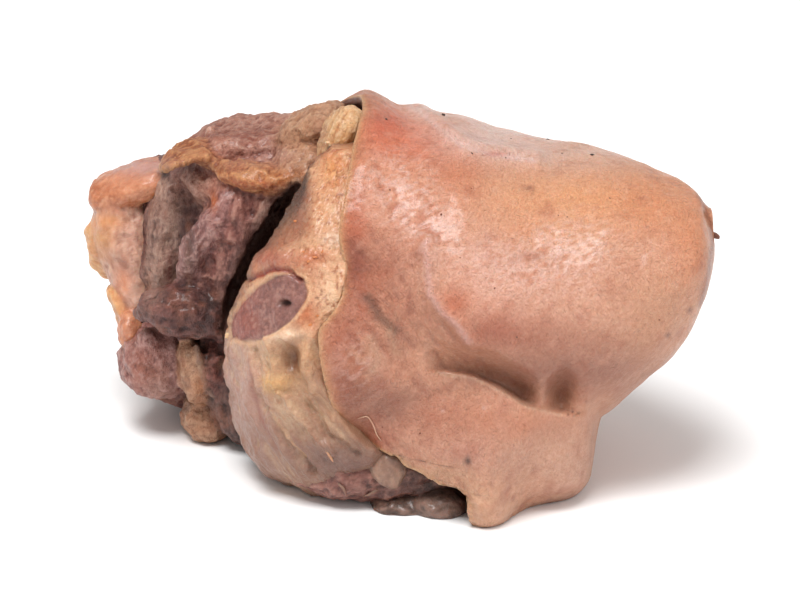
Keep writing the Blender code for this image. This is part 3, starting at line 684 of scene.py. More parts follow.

# Colours of the cut face by place, two of them painted shade by the gap and under the ledge, and its ridges:
# (line, half-width, rise)
WALL_TONE = (198, 158, 126)
MUSCLE_TONE = (146, 102, 94)
WALL_PATCHES = (
    (-27.5, 59, 5, 3, (234, 188, 148), 0.7), (-23, 56, 4, 2.2, (190, 98, 50), 0.9),
    (-25.5, 41, 3.4, 5.5, (196, 106, 56), 0.85),
    (-27, 36.5, 5, 2.4, (204, 130, 84), 0.7), (-19, 82, 3.4, 4.5, (232, 160, 88), 0.85),
    (-17.5, 90.5, 3.4, 4.6, (226, 192, 156), 0.85), (-18.5, 61, 3, 2, (236, 212, 190), 0.9),
    (-20, 47, 3.6, 8, (240, 206, 172), 0.85), (-23.5, 50, 2.4, 6, (206, 152, 120), 0.6),
    (-28, 66, 3.5, 6, (142, 98, 84), 0.75), (-33, 61, 4, 3, (156, 100, 76), 0.7),
    (-22, 72, 4, 6, (222, 170, 128), 0.6), (-26, 75, 3, 6, (176, 122, 96), 0.6),
    (-29.6, 26.5, 2.6, 6, (126, 82, 56), 0.85), (-32, 35.2, 8, 2.2, (240, 212, 184), 0.85),
    (-25.5, 29, 2.2, 7, (214, 172, 132), 0.7), (-35.5, 28, 2.6, 4, (214, 176, 136), 0.7),
    (-34.5, 21.6, 4.8, 2.6, (224, 180, 122), 0.95), (-24, 10, 5, 10, (164, 126, 104), 0.5),
    (-42, 24, 3.4, 14, (186, 152, 142), 0.6), (-40.5, 46.5, 4, 2.4, (226, 184, 152), 0.7),
    (-36, 8, 6, 8, (160, 126, 112), 0.5), (-14, -1, 14, 5, (122, 88, 80), 0.85),
    # painted shade: (-36.5, 58.5) on the gap's edge, and on the next line (-28, 76.5) under the browned
    # ledge
    (-28, 3, 8, 4, (150, 116, 106), 0.6), (-36.5, 58.5, 3.2, 2.6, (124, 78, 62), 0.6),
    (-26.8, 72.5, 2.6, 5.5, (112, 78, 70), 0.7), (-28, 76.5, 2.4, 2.6, (66, 44, 36), 0.7),
    (-30.5, 63.5, 4, 3, (150, 94, 66), 0.6), (-43.5, 44.4, 2.4, 2.4, (192, 112, 84), 0.6),
    (-19, 0.5, 7, 4, (136, 108, 98), 0.7),
    (-40.5, 28.5, 3, 4, (222, 188, 156), 0.6),
)
WALL_RIDGES = (
    (((-36.5, 33), (-34.5, 27), (-35, 23)), 1.4, 1.8),
    (((-24.5, 34), (-26, 27), (-24, 20)), 1.6, 1.8),
    (((-36.5, 34.5), (-31, 34), (-25, 36)), 1.3, 1.1),
    (((-33, 19), (-27, 11), (-19, 2.5)), 1.2, 1.5),
    (((-40, 31), (-38.5, 18), (-32, 6), (-24, -3)), 0.9, -1.4),
    (((-25, 16), (-20, 8), (-12, 2)), 1, -1.2),
)
WALL_LINES = (
    (((-41.8, 28), (-41, 22), (-38.5, 12), (-34, 3)), 0.5, (150, 92, 78), 0.6),
    (((-37, 16), (-33, 9), (-27, 1)), 0.6, (222, 184, 148), 0.6),
    (((-22, 30), (-20, 20), (-14, 10)), 0.5, (150, 104, 80), 0.5),
)


def gap_shape(height):
    """Middle x, half-width, middle depth and half-depth of the gap, closing at both ends."""
    closing = np.sqrt(np.clip(1.0 - ((height - 56.5) / 27.5) ** 6, 0.0, 1.0))
    return (curve(GAP_X, height), curve(GAP_WIDTH, height) * 1.1 * closing,
            curve(GAP_Y, height), curve(GAP_DEPTH, height) * closing)


def clear_to_right(points):
    """Presses points that lie in the gap to its right side."""
    _, height = seen(points)
    x, wide, y, deep = gap_shape(height)
    level = np.clip(1.0 - ((points[..., 1] - y) / np.maximum(deep, 0.01)) ** 2, 0.0, 1.0)
    side = x + wide * np.sqrt(level)
    inside = (level > 0.0) & (wide > 0.05)
    moved = points.copy()
    moved[..., 0] = np.where(inside, np.maximum(points[..., 0], side), points[..., 0])
    return moved


# Where the rim of the rind shows from the front: (height, x)
RIM_SHOWN = ((-18, 21), (-10, 17.5), (-6.3, 13), (-5, 8), (-2.2, 4), (1.9, -2.7), (4.7, -9.6), (10, -15),
             (17, -19), (25, -21.4), (34.8, -22.5), (41, -18.2), (47, -16.2), (54, -15.3),
             (62, -16.2), (70, -15.4), (77.5, -14), (82.7, -12.6), (89.3, -10.6), (97, -9.6))
TUCK = 6


def tuck_under_rind(points):
    """Draws the front of the near cut back where the rind covers it."""
    x, height = seen(points)
    covered = ramp(x - curve(RIM_SHOWN, height), 0.0, 2.6)
    moved = points.copy()
    moved[..., 1] += TUCK * covered * ramp(-points[..., 1], 6.0, 14.0)
    return moved


def oval_share(x, height, oval):
    """How deep inside a turned oval points lie: 1 at its middle, 0 on its edge, less outside."""
    middle_x, middle_height, long, short, turn = oval
    cos_turn = math.cos(math.radians(turn))
    sin_turn = math.sin(math.radians(turn))
    along = (x - middle_x) * cos_turn + (height - middle_height) * sin_turn
    across = (height - middle_height) * cos_turn - (x - middle_x) * sin_turn
    return 1.0 - np.sqrt((along / long) ** 2 + (across / short) ** 2)


def near_cut():
    """Level ovals whose left side follows the outline of the cut, with muscle, fat and silverskin."""
    def density(angle):
        return 0.22 + 1.0 * hump(angle + 135.0, 62.0) + 1.0 * hump(angle - 225.0, 62.0)

    turn = np.radians(crowded_angles(WALL_PLACES, density))
    z = np.linspace(0.5, WALL_TOP, WALL_LEVELS)
    z_grid, turn_grid = np.meshgrid(z, turn, indexing="ij")
    left = WALL_AXIS[0] - curve(WALL_LEFT, z_grid)
    cos_turn = np.cos(turn_grid)
    sin_turn = np.sin(turn_grid)
    wide = np.where(cos_turn < 0, left, WALL_RIGHT)
    deep = np.where(sin_turn < 0, curve(WALL_FRONT, z_grid), curve(WALL_BACK, z_grid))
    radius = ((np.abs(cos_turn) / wide) ** WALL_POWER
              + (np.abs(sin_turn) / deep) ** WALL_POWER) ** (-1.0 / WALL_POWER)
    radius = radius + WALL_RELIEF * crags(radius * cos_turn, radius * sin_turn, z_grid, 15.0, 11)
    grid = np.stack((WALL_AXIS[0] + radius * cos_turn, WALL_AXIS[1] + radius * sin_turn, z_grid), axis=-1)
    grid = tuck_under_rind(clear_to_right(grid))
    normal = grid_normals(grid)
    x, height = seen(grid)
    front = ramp(-grid[..., 1], 8.0, 16.0)

    warp = 1.1 * cloud(grid, 4.0, 31, 3, 0.6)
    in_oval = oval_share(x + warp, height + warp, MUSCLE)
    muscle = ramp(in_oval, -0.05, 0.05) * front
    band = ramp(height, 35.0, 40.0) * (1.0 - muscle)
    lower = (1.0 - ramp(height, 33.0, 38.0)) * (1.0 - muscle)
    pocked = cloud(grid, 1.9, 32, 3, 0.65)
    crumbly = ridges(grid, 1.7, 40, 3) - 0.5
    streaks = cloud(streaked(grid, STREAK_WAY, 6.0), 1.9, 33, 3, 0.65)
    folds = cloud(streaked(grid, STREAK_WAY, 3.0), 6.0, 41, 2)
    grain = cloud(grid, 0.9, 34, 2)
    slit = hump(distance_to_line(x + 0.5 * warp, height + 0.5 * warp, SLIT), 0.75) * front
    lobe = spot(x, height, UPPER_LOBE[:4] + (1.0,)) * front
    lump = spot(x, height, CRUMBLY_LUMP[:4] + (1.0,)) * front
    relief = band * (0.6 * pocked + 0.4 * crumbly) + lower * (0.8 * streaks + 1.5 * folds)
    relief = relief + 0.16 * muscle * grain - 1.2 * slit
    relief = relief - 0.5 * hump(in_oval, 0.06) * front - 0.25 * muscle
    relief = with_spots(relief, x, height, (MUSCLE_HOLE, DIMPLE, CRUMBLY_LUMP, UPPER_LOBE), front)
    relief = relief + lump * 1.0 * (ridges(grid, 1.6, 35, 2) - 0.3)
    for line, width, rise in WALL_RIDGES:
        relief = relief + front * rise * hump(distance_to_line(x + warp, height + warp, line), width)
    relief = relief * (1.0 - ramp(x - curve(RIM_SHOWN, height), -0.8, 1.0) * front)
    grid = grid + normal * relief[..., None]

    colours = layered(tone(*WALL_TONE), (
        ((188, 152, 140), 0.9 * ramp(-x - 0.25 * (height - 20.0), 34.0, 41.0) * lower),
        ((150, 118, 102), 0.6 * ramp(-height, -16.0, -4.0) * lower),
        ((152, 110, 86), 0.6 * ramp(streaks + 0.4 * folds, 0.1, 0.5) * lower),
        ((224, 194, 160), 0.6 * ramp(-streaks - 0.4 * folds, 0.1, 0.5) * lower),
        ((216, 166, 128), 0.9 * band),
        ((196, 124, 80), 0.75 * band * ramp(cloud(grid, 5.0, 36, 4, 0.65), 0.0, 0.4)),
        ((238, 208, 176), 0.55 * band * ramp(cloud(grid, 3.4, 42, 3, 0.65), 0.15, 0.5))))
    colours = painted_spots(colours, x, height, WALL_PATCHES, front)
    colours = painted_lines(colours, x + 0.4 * warp, height, WALL_LINES, front)
    colours = layered(colours, (
        ((152, 84, 50), 0.75 * band * ramp(cloud(grid, 1.3, 37, 3, 0.65), 0.22, 0.55)),
        ((186, 112, 66), 0.5 * band * ramp(-crumbly, 0.05, 0.35)),
        ((134, 76, 48), 0.6 * (band + 0.3 * lower) * ramp(cloud(grid, 1.1, 43, 3), 0.42, 0.62)),
        ((168, 98, 80), 0.85 * lobe * (1.0 - muscle)),
        ((206, 158, 132), 0.45 * lobe * ramp(pocked, 0.1, 0.5))))
    reddish = ramp(-x + 0.8 * warp, 36.0, 44.0)
    flesh = layered(tone(*MUSCLE_TONE), (
        ((160, 86, 72), 0.75 * reddish),
        ((104, 62, 58), 0.5 * ramp(grain, 0.0, 0.5)),
        ((184, 140, 128), 0.55 * ramp(-grain, 0.1, 0.5))))
    colours = mix(colours, tone(224, 184, 148), 0.7 * hump(in_oval + 0.08, 0.09) * front)
    colours = mix(colours, flesh, muscle)
    gap_x, gap_wide, _, _ = gap_shape(height)
    # painted shade where the gap's shadow falls on the cut's left edge
    gap_shade = ramp(gap_x + gap_wide + 0.5 - x, 0.0, 1.8) * ramp(grid[..., 1], -22.0, -12.0)
    gap_shade = gap_shade * ramp(height, 36.0, 44.0) * ramp(gap_wide, 0.5, 1.5)
    colours = layered(colours, (
        ((140, 40, 30), 0.85 * slit),
        # painted shade in the muscle's hole, on the part of the cut behind its front face, and along the gap
        ((50, 26, 24), 0.9 * spot(x, height, MUSCLE_HOLE[:4] + (1.0,)) * front),
        ((84, 54, 46), 0.9 * ramp(grid[..., 1], -9.0, -1.0) * ramp(-x, 4.0, 10.0)),
        ((66, 44, 36), 0.9 * gap_shade)))
    wet = 0.5 + 0.35 * cloud(grid, 4.0, 38, 3) + 0.2 * lower
    make_tube("near_cut", grid, grid[0].mean(axis=0), colours, CUT_FACE, wet)


# Torn meat, fat and the underside

# Tones of one kind of flesh: its grooves, its body, its raised fibres. The groove tone also paints shade in
# hollows and the fibre tone highlights on crests; the shade tones colour dark masses that stand as painted
# shade
FLESH = {
    "purple": ((86, 42, 38), (150, 92, 82), (204, 152, 136)),
    "dark": ((56, 28, 28), (100, 60, 56), (142, 96, 88)),
    "grey_tan": ((124, 88, 74), (188, 150, 132), (220, 190, 170)),
    "mauve": ((140, 78, 62), (200, 144, 122), (230, 190, 170)),
    "ochre": ((134, 66, 32), (200, 126, 74), (228, 172, 118)),
    "cream": ((186, 144, 110), (224, 190, 154), (240, 216, 188)),
    "yellow": ((180, 124, 72), (210, 156, 104), (232, 190, 140)),
    "pink_fat": ((150, 100, 84), (190, 144, 124), (214, 176, 158)),
    "lip": ((156, 88, 54), (192, 126, 90), (216, 160, 126)),
    "red": ((52, 22, 20), (104, 52, 44), (170, 112, 100)),
    "tan": ((150, 100, 68), (200, 150, 116), (222, 182, 148)),
    "shade": ((54, 34, 30), (96, 64, 56), (136, 98, 86)),
    "lilac": ((122, 76, 72), (176, 128, 122), (214, 176, 168)),
    "tongue": ((108, 80, 68), (136, 106, 90), (164, 132, 114)),
    "cavity": ((60, 44, 38), (112, 88, 78), (148, 120, 108)),
    "pepper": ((40, 26, 22), (58, 40, 34), (84, 60, 50)),
    "thread": ((196, 150, 128), (222, 180, 156), (240, 214, 198)),
    "rim_fat": ((192, 126, 76), (240, 192, 138), (250, 218, 174)),
    "burnt": ((60, 32, 24), (112, 62, 42), (160, 96, 66)),
}

# Browned, orange and pale places of the torn side, and painted shade in the gap, the dark slot and under the
# ledge: (x, height, half-width, half-height, tone, share)
TORN_PATCHES = (
    (-51, 71.5, 1.2, 2.6, (206, 112, 52), 0.85),
    (-30, 78, 6, 2, (214, 132, 62), 0.8), (-40, 76, 8, 1.6, (196, 96, 48), 0.7),
    (-42, 88.8, 9, 1.8, (146, 76, 56), 0.8), (-27, 88, 5, 6, (214, 164, 124), 0.7),
    (-14.5, 86.5, 3, 2.4, (232, 156, 74), 0.8), (-68.5, 49, 3.5, 6, (194, 156, 138), 0.7),
    # painted shade of the gap running down the middle: this line and the first entry of the next
    (-51.5, 44, 4, 8, (54, 38, 34), 0.7), (-44, 54, 3, 6, (84, 60, 52), 0.5),
    (-39.5, 60, 3, 6, (62, 44, 38), 0.6), (-68, 28, 7, 6, (178, 112, 90), 0.45),
    (-50.5, 12, 3, 4, (150, 96, 70), 0.7), (-82, 61, 4, 6, (198, 144, 90), 0.7),
    (-73, 77, 7, 2.6, (196, 132, 100), 0.5),
    (-21.5, 90, 2, 4, (170, 112, 80), 0.6),
    # painted shade under the ledge: the second entry of this line
    (-71, 81, 10, 2.6, (182, 146, 140), 0.85), (-28.6, 76, 2.4, 2.4, (44, 28, 24), 0.85),
    (-63.2, 52, 1, 5, (120, 50, 36), 0.8), (-58, 56, 0.9, 9, (176, 132, 104), 0.6),
    (-37, 84.5, 8, 2, (206, 160, 150), 0.6), (-50, 88, 4, 2, (196, 132, 108), 0.6),
    (-45, 83, 9, 4, (176, 120, 106), 0.5), (-55.5, 80.4, 5, 1.5, (100, 48, 34), 0.85),
    # painted shade in the dark slot between the strands: the first entry of this line
    (-57.5, 60, 2.6, 14, (70, 38, 34), 0.7), (-40, 58, 6, 12, (140, 100, 92), 0.3),
    (-60, 39, 4, 3, (80, 48, 46), 0.7), (-46.5, 27, 3, 2, (196, 150, 118), 0.6),
    (-56, 27, 2.4, 5, (220, 182, 150), 0.6), (-55, 20, 2, 4, (204, 134, 84), 0.6),
    (-76, 48, 2, 5, (214, 140, 98), 0.7), (-80, 66, 5, 2, (226, 160, 106), 0.6),
    (-66, 20, 4, 6, (188, 146, 124), 0.5), (-72, 24, 3, 6, (190, 120, 92), 0.5),
    (-74, 37, 2.5, 5, (180, 122, 96), 0.7), (-64.4, 79, 1.8, 1.8, (38, 26, 22), 0.97),
)


def spin(turn):
    """Matrix that turns about x, then y, then z, by degrees."""
    rx, ry, rz = (math.radians(a) for a in turn)
    about_x = np.array(((1, 0, 0), (0, math.cos(rx), -math.sin(rx)), (0, math.sin(rx), math.cos(rx))))
    about_y = np.array(((math.cos(ry), 0, math.sin(ry)), (0, 1, 0), (-math.sin(ry), 0, math.cos(ry))))
    about_z = np.array(((math.cos(rz), -math.sin(rz), 0), (math.sin(rz), math.cos(rz), 0), (0, 0, 1)))
    return about_z @ about_y @ about_x


class Lobe:
    """Oval ball with its own turn in degrees, squared off by power, fibres along one of its own axes."""

    def __init__(self, tones, centre, radii, turn=(0, 0, 0), power=2.0, fibre_axis=0, **relief):
        self.tones = tones
        self.centre = np.array(centre, float)
        self.radii = np.array(radii, float)
        self.spin = spin(turn)
        self.power = power
        self.squeeze = np.where(np.arange(3) == fibre_axis, relief.get("squeeze", 0.14), 1.0)
        self.relief = relief

    def rings(self, count, places):
        """Rings from pole to pole, then the two poles."""
        lon = np.linspace(0.0, 2.0 * math.pi, places, endpoint=False)
        lat = np.linspace(-math.pi / 2.0, math.pi / 2.0, count + 2)
        lat_grid, lon_grid = np.meshgrid(lat, lon, indexing="ij")
        ball = np.stack((np.cos(lat_grid) * np.cos(lon_grid), np.cos(lat_grid) * np.sin(lon_grid),
                         np.sin(lat_grid)), axis=-1)
        reach = (np.abs(ball) ** self.power).sum(axis=-1) ** (-1.0 / self.power)
        points = (ball * reach[..., None] * self.radii) @ self.spin.T + self.centre
        return points[1:-1], points[(0, -1), 0]

    def places(self, points):
        """How far out points lie, 1 on the surface, and where they lie along its own axes."""
        local = (points - self.centre) @ self.spin
        out = ((np.abs(local) / self.radii) ** self.power).sum(axis=-1) ** (1.0 / self.power)
        return out, local


class Strand:
    """Band along a smooth path: oval sections, half-width across the view and half-depth, round-ended."""

    def __init__(self, tones, path, widths, depths, turn=0.0, **relief):
        self.tones = tones
        self.path = np.array(path, float)
        self.widths = widths
        self.depths = depths
        self.turn = math.radians(turn)
        self.squeeze = np.array((relief.get("squeeze", 0.14), 1.0, 1.0))
        self.relief = relief

    def sections(self, count):
        """Middle, way, side and deep directions, half-width, half-depth and length at places along it."""
        along = np.linspace(0.0, 1.0, count)
        centre = np.stack([through(self.path[:, k], along) for k in range(3)], axis=-1)
        way = np.gradient(centre, axis=0)
        way /= np.linalg.norm(way, axis=1)[:, None]
        across = np.cross(way, np.array((0.0, 1.0, 0.0)))
        across /= np.linalg.norm(across, axis=1)[:, None]
        depth_way = np.cross(way, across)
        side = across * math.cos(self.turn) + depth_way * math.sin(self.turn)
        deep = depth_way * math.cos(self.turn) - across * math.sin(self.turn)
        end = np.sqrt(np.clip(1.0 - np.abs(2.0 * along - 1.0) ** 6, 0.02, 1.0))
        wide = through(self.widths, along) * end
        thick = through(self.depths, along) * end
        length = np.concatenate(([0.0], np.cumsum(np.linalg.norm(np.diff(centre, axis=0), axis=1))))
        return centre, way, side, deep, wide, thick, length

    def rings(self, count, places):
        """Rings along the path, then its two end points."""
        centre, _, side, deep, wide, thick, _ = self.sections(count)
        turn = np.linspace(0.0, 2.0 * math.pi, places, endpoint=False)
        points = (centre[:, None, :] + side[:, None, :] * (wide[:, None] * np.cos(turn))[..., None]
                  + deep[:, None, :] * (thick[:, None] * np.sin(turn))[..., None])
        return points, np.stack((points[0].mean(axis=0), points[-1].mean(axis=0)))

    def places(self, points):
        """How far out points lie, 1 on the surface, and their length along, place across and depth."""
        centre, way, side, deep, wide, thick, length = self.sections(48)
        near = np.linalg.norm(points[:, None, :] - centre[None], axis=-1).argmin(axis=1)
        away = points - centre[near]
        across = (away * side[near]).sum(axis=-1)
        inward = (away * deep[near]).sum(axis=-1)
        along = (away * way[near]).sum(axis=-1)
        out = np.sqrt((across / wide[near]) ** 2 + (inward / thick[near]) ** 2 + (along / thick[near]) ** 2)
        return out, np.stack((length[near] + along, across, inward), axis=-1)


# Rings and places round each of the large shapes, and of the small ones
SHAPE_MESH = (60, 64)
GRAIN_MESH = (16, 18)


def plain_tube(shape, rings, places, lumps, lump_height, seed):
    """Closed mesh of a lobe or strand with its large lumps, in millimetres."""
    grid, ends = shape.rings(rings, places)
    out = grid - grid.mean(axis=1, keepdims=True)
    out /= np.maximum(np.linalg.norm(out, axis=-1, keepdims=True), 1e-9)
    rough = lump_height * crags(grid[..., 0], grid[..., 1], grid[..., 2], lumps, seed)
    edge = np.minimum(ramp(np.arange(rings), 0, 5), ramp(np.arange(rings)[::-1], 0, 5))
    grid = grid + out * (rough * edge[:, None])[..., None]
    return np.vstack((grid.reshape(-1, 3), ends)), tube_faces(rings, places)


def plain_tubes(shapes, rings, places):
    """Points of each shape, and the faces of all of them together."""
    points = []
    faces = []
    start = 0
    for number, shape in enumerate(shapes):
        lumps = shape.relief.get("lumps", 10.0)
        lump_height = shape.relief.get("lump_height", 0.9)
        tube, tube_sides = plain_tube(shape, rings, places, lumps, lump_height, 20 + number)
        points.append(tube)
        faces += [tuple(corner + start for corner in face) for face in tube_sides]
        start += len(tube)
    return points, faces


def mesh_values(items, field, width, kind=float):
    """One field of all points or edges of a mesh, a row of numbers for each."""
    values = np.empty(width * len(items), kind)
    items.foreach_get(field, values)
    return values.reshape(-1, width)


def fused_skin(shapes, grain, soften_rounds, cutter=None):
    """Skin of overlapping shapes grown together on a fine grid: its points, faces, normals and edges."""
    points, faces = plain_tubes(shapes, *SHAPE_MESH)
    piece = linked("working", outward_mesh("working", np.vstack(points), faces))

    def grow(name, size):
        step = piece.modifiers.new(name, "REMESH")
        step.mode = "VOXEL"
        step.voxel_size = size

    if cutter is not None:
        grow("grow", grain * 1.3)
        cut = piece.modifiers.new("cut", "BOOLEAN")
        cut.operation = "DIFFERENCE"
        cut.object = cutter
        cut.solver = "MANIFOLD"
    grow("grow_fine", grain)
    soften = piece.modifiers.new("soften", "SMOOTH")
    soften.factor = 0.5
    soften.iterations = soften_rounds
    view = bpy.context.evaluated_depsgraph_get()
    view.update()
    mesh = piece.evaluated_get(view).to_mesh()
    points = mesh_values(mesh.vertices, "co", 3)
    faces = [tuple(polygon.vertices) for polygon in mesh.polygons]
    normal = mesh_values(mesh.vertices, "normal", 3)
    edges = mesh_values(mesh.edges, "vertices", 2, int)
    piece.evaluated_get(view).to_mesh_clear()
    bpy.data.objects.remove(piece)
    return points, faces, normal, edges


def neighbour_mean(values, edges):
    """Mean over the points joined to each point by an edge."""
    total = np.zeros_like(values)
    count = np.zeros(len(values))
    for a, b in ((0, 1), (1, 0)):
        np.add.at(total, edges[:, a], values[edges[:, b]])
        np.add.at(count, edges[:, a], 1.0)
    return total / np.maximum(count, 1.0)[:, None]


def hollows(points, normal, edges, rounds):
    """How far the skin dips below its smoothed self, in mm: above 0 in hollows, below 0 on crests."""
    smooth = points
    for _ in range(rounds):
        smooth = neighbour_mean(smooth, edges)
    return ((smooth - points) * normal).sum(axis=-1)


def grown_flesh(name, shapes, grain, material, patches, rough=1.0, soften_rounds=6,
                cutter=None):
    """Overlapping meat or fat grown into one skin, then given fibres, crumbs and colours, with painted shade
    in its hollows, and along the gap when cut, and painted highlight on its crests.

    Each shape has a share at a point that falls off with how far outside it the point lies. Fibres are
    a random field read at the shape's own places, squeezed along its fibres, and add up by the shares.
    rough is how much of the general crumple the skin takes.
    """
    points, faces, normal, edges = fused_skin(shapes, grain, soften_rounds, cutter)
    found = [shape.places(points) for shape in shapes]
    out = np.stack([f[0] for f in found])
    share = np.exp(-(out - out.min(axis=0)) / 0.09)
    share /= share.sum(axis=0)
    bundles = np.zeros(len(points))
    relief = np.zeros(len(points))
    threads = np.zeros(len(points))
    groove, body, crest = (np.zeros((len(points), 3)) for _ in range(3))
    for number, (shape, (_, local)) in enumerate(zip(shapes, found)):
        fibre = shape.relief.get("fibre", 1.5)
        height = shape.relief.get("fibre_height", 0.5)
        drawn = local * shape.squeeze + 7.3 * number
        wavy = drawn + 0.9 * cloud(local + 3.1 * number, 6.0, 50 + number, 2)[:, None]
        field = cloud(wavy, fibre * 1.7, 60 + number, 4, 0.72)
        bundles += share[number] * field
        relief += share[number] * field * height * 0.9
        threads += share[number] * cloud(wavy, 0.8, 96 + number, 2)
        for blend, colour in zip((groove, body, crest), FLESH[shape.tones]):
            blend += share[number][:, None] * tone(*colour)
    relief += rough * (0.5 * cloud(points, 2.0, 90, 3, 0.7) + 0.9 * (ridges(points, 6.0, 94, 3) - 0.6))
    points = points + normal * relief[:, None]
    hollow_shade_crest_light = hollows(points, normal, edges, 3)
    deep = hollows(points, normal, edges, 26)
    x, height = seen(points)
    # fibre tone by bundles, lighter where they are raised and darker where sunk, partly painted highlight
    # and shade
    colours = mix(body, crest, 0.7 * ramp(bundles, 0.05, 0.45))
    colours = mix(colours, groove, 0.65 * ramp(-bundles, 0.05, 0.45))
    colours = mix(colours, crest, 0.6 * ramp(threads, 0.1, 0.5))
    colours = mix(colours, groove, 0.6 * ramp(-threads, 0.1, 0.5))
    colours = mix(colours, crest, 0.5 * ramp(cloud(points, 3.6, 91, 3, 0.6), 0.1, 0.6))
    colours = mix(colours, groove, 0.6 * ramp(cloud(points, 2.6, 92, 3, 0.6), 0.2, 0.7))
    colours = painted_spots(colours, x, height, patches)
    # painted shade in the small hollows and painted highlight on crests, then painted shade in deep hollows
    colours = mix(colours, groove, 0.8 * ramp(hollow_shade_crest_light, 0.03, 0.22))
    colours = mix(colours, crest, 0.6 * ramp(-hollow_shade_crest_light, 0.04, 0.22))
    colours = mix(colours, groove * 0.6, 0.75 * ramp(deep, 0.35, 1.8))
    if cutter is not None:
        colours = mix(colours, tone(190, 122, 88), 0.22 * ramp(cloud(points, 4.0, 95, 3), 0.15, 0.6))
        # painted shade, darker towards the gap where the far meat has pulled away
        far, _ = GAP.places(points)
        colours = mix(colours, tone(84, 54, 48), 0.6 * (1.0 - ramp(far, 1.1, 2.3)))
        colours = mix(colours, tone(112, 78, 66), 0.93 * (1.0 - ramp(far, 1.02, 1.3)))
    wet = 0.5 + 0.4 * cloud(points, 2.4, 93, 3)
    make_piece(name, rest_on_floor(points), faces, colours, material, wet)


# The dark gap where the far meat has pulled away from the near cut end
GAP = Strand("shade", (at(-27.5, 76.5, 6), at(-30.5, 70.5, 4), at(-35, 62, 3), at(-41, 53, 1),
                       at(-45.6, 43, 1), at(-48.5, 34, 3)),
             (2.2, 3, 3.6, 3.1, 2.6, 2.2), (14, 17, 18, 18, 16, 12))


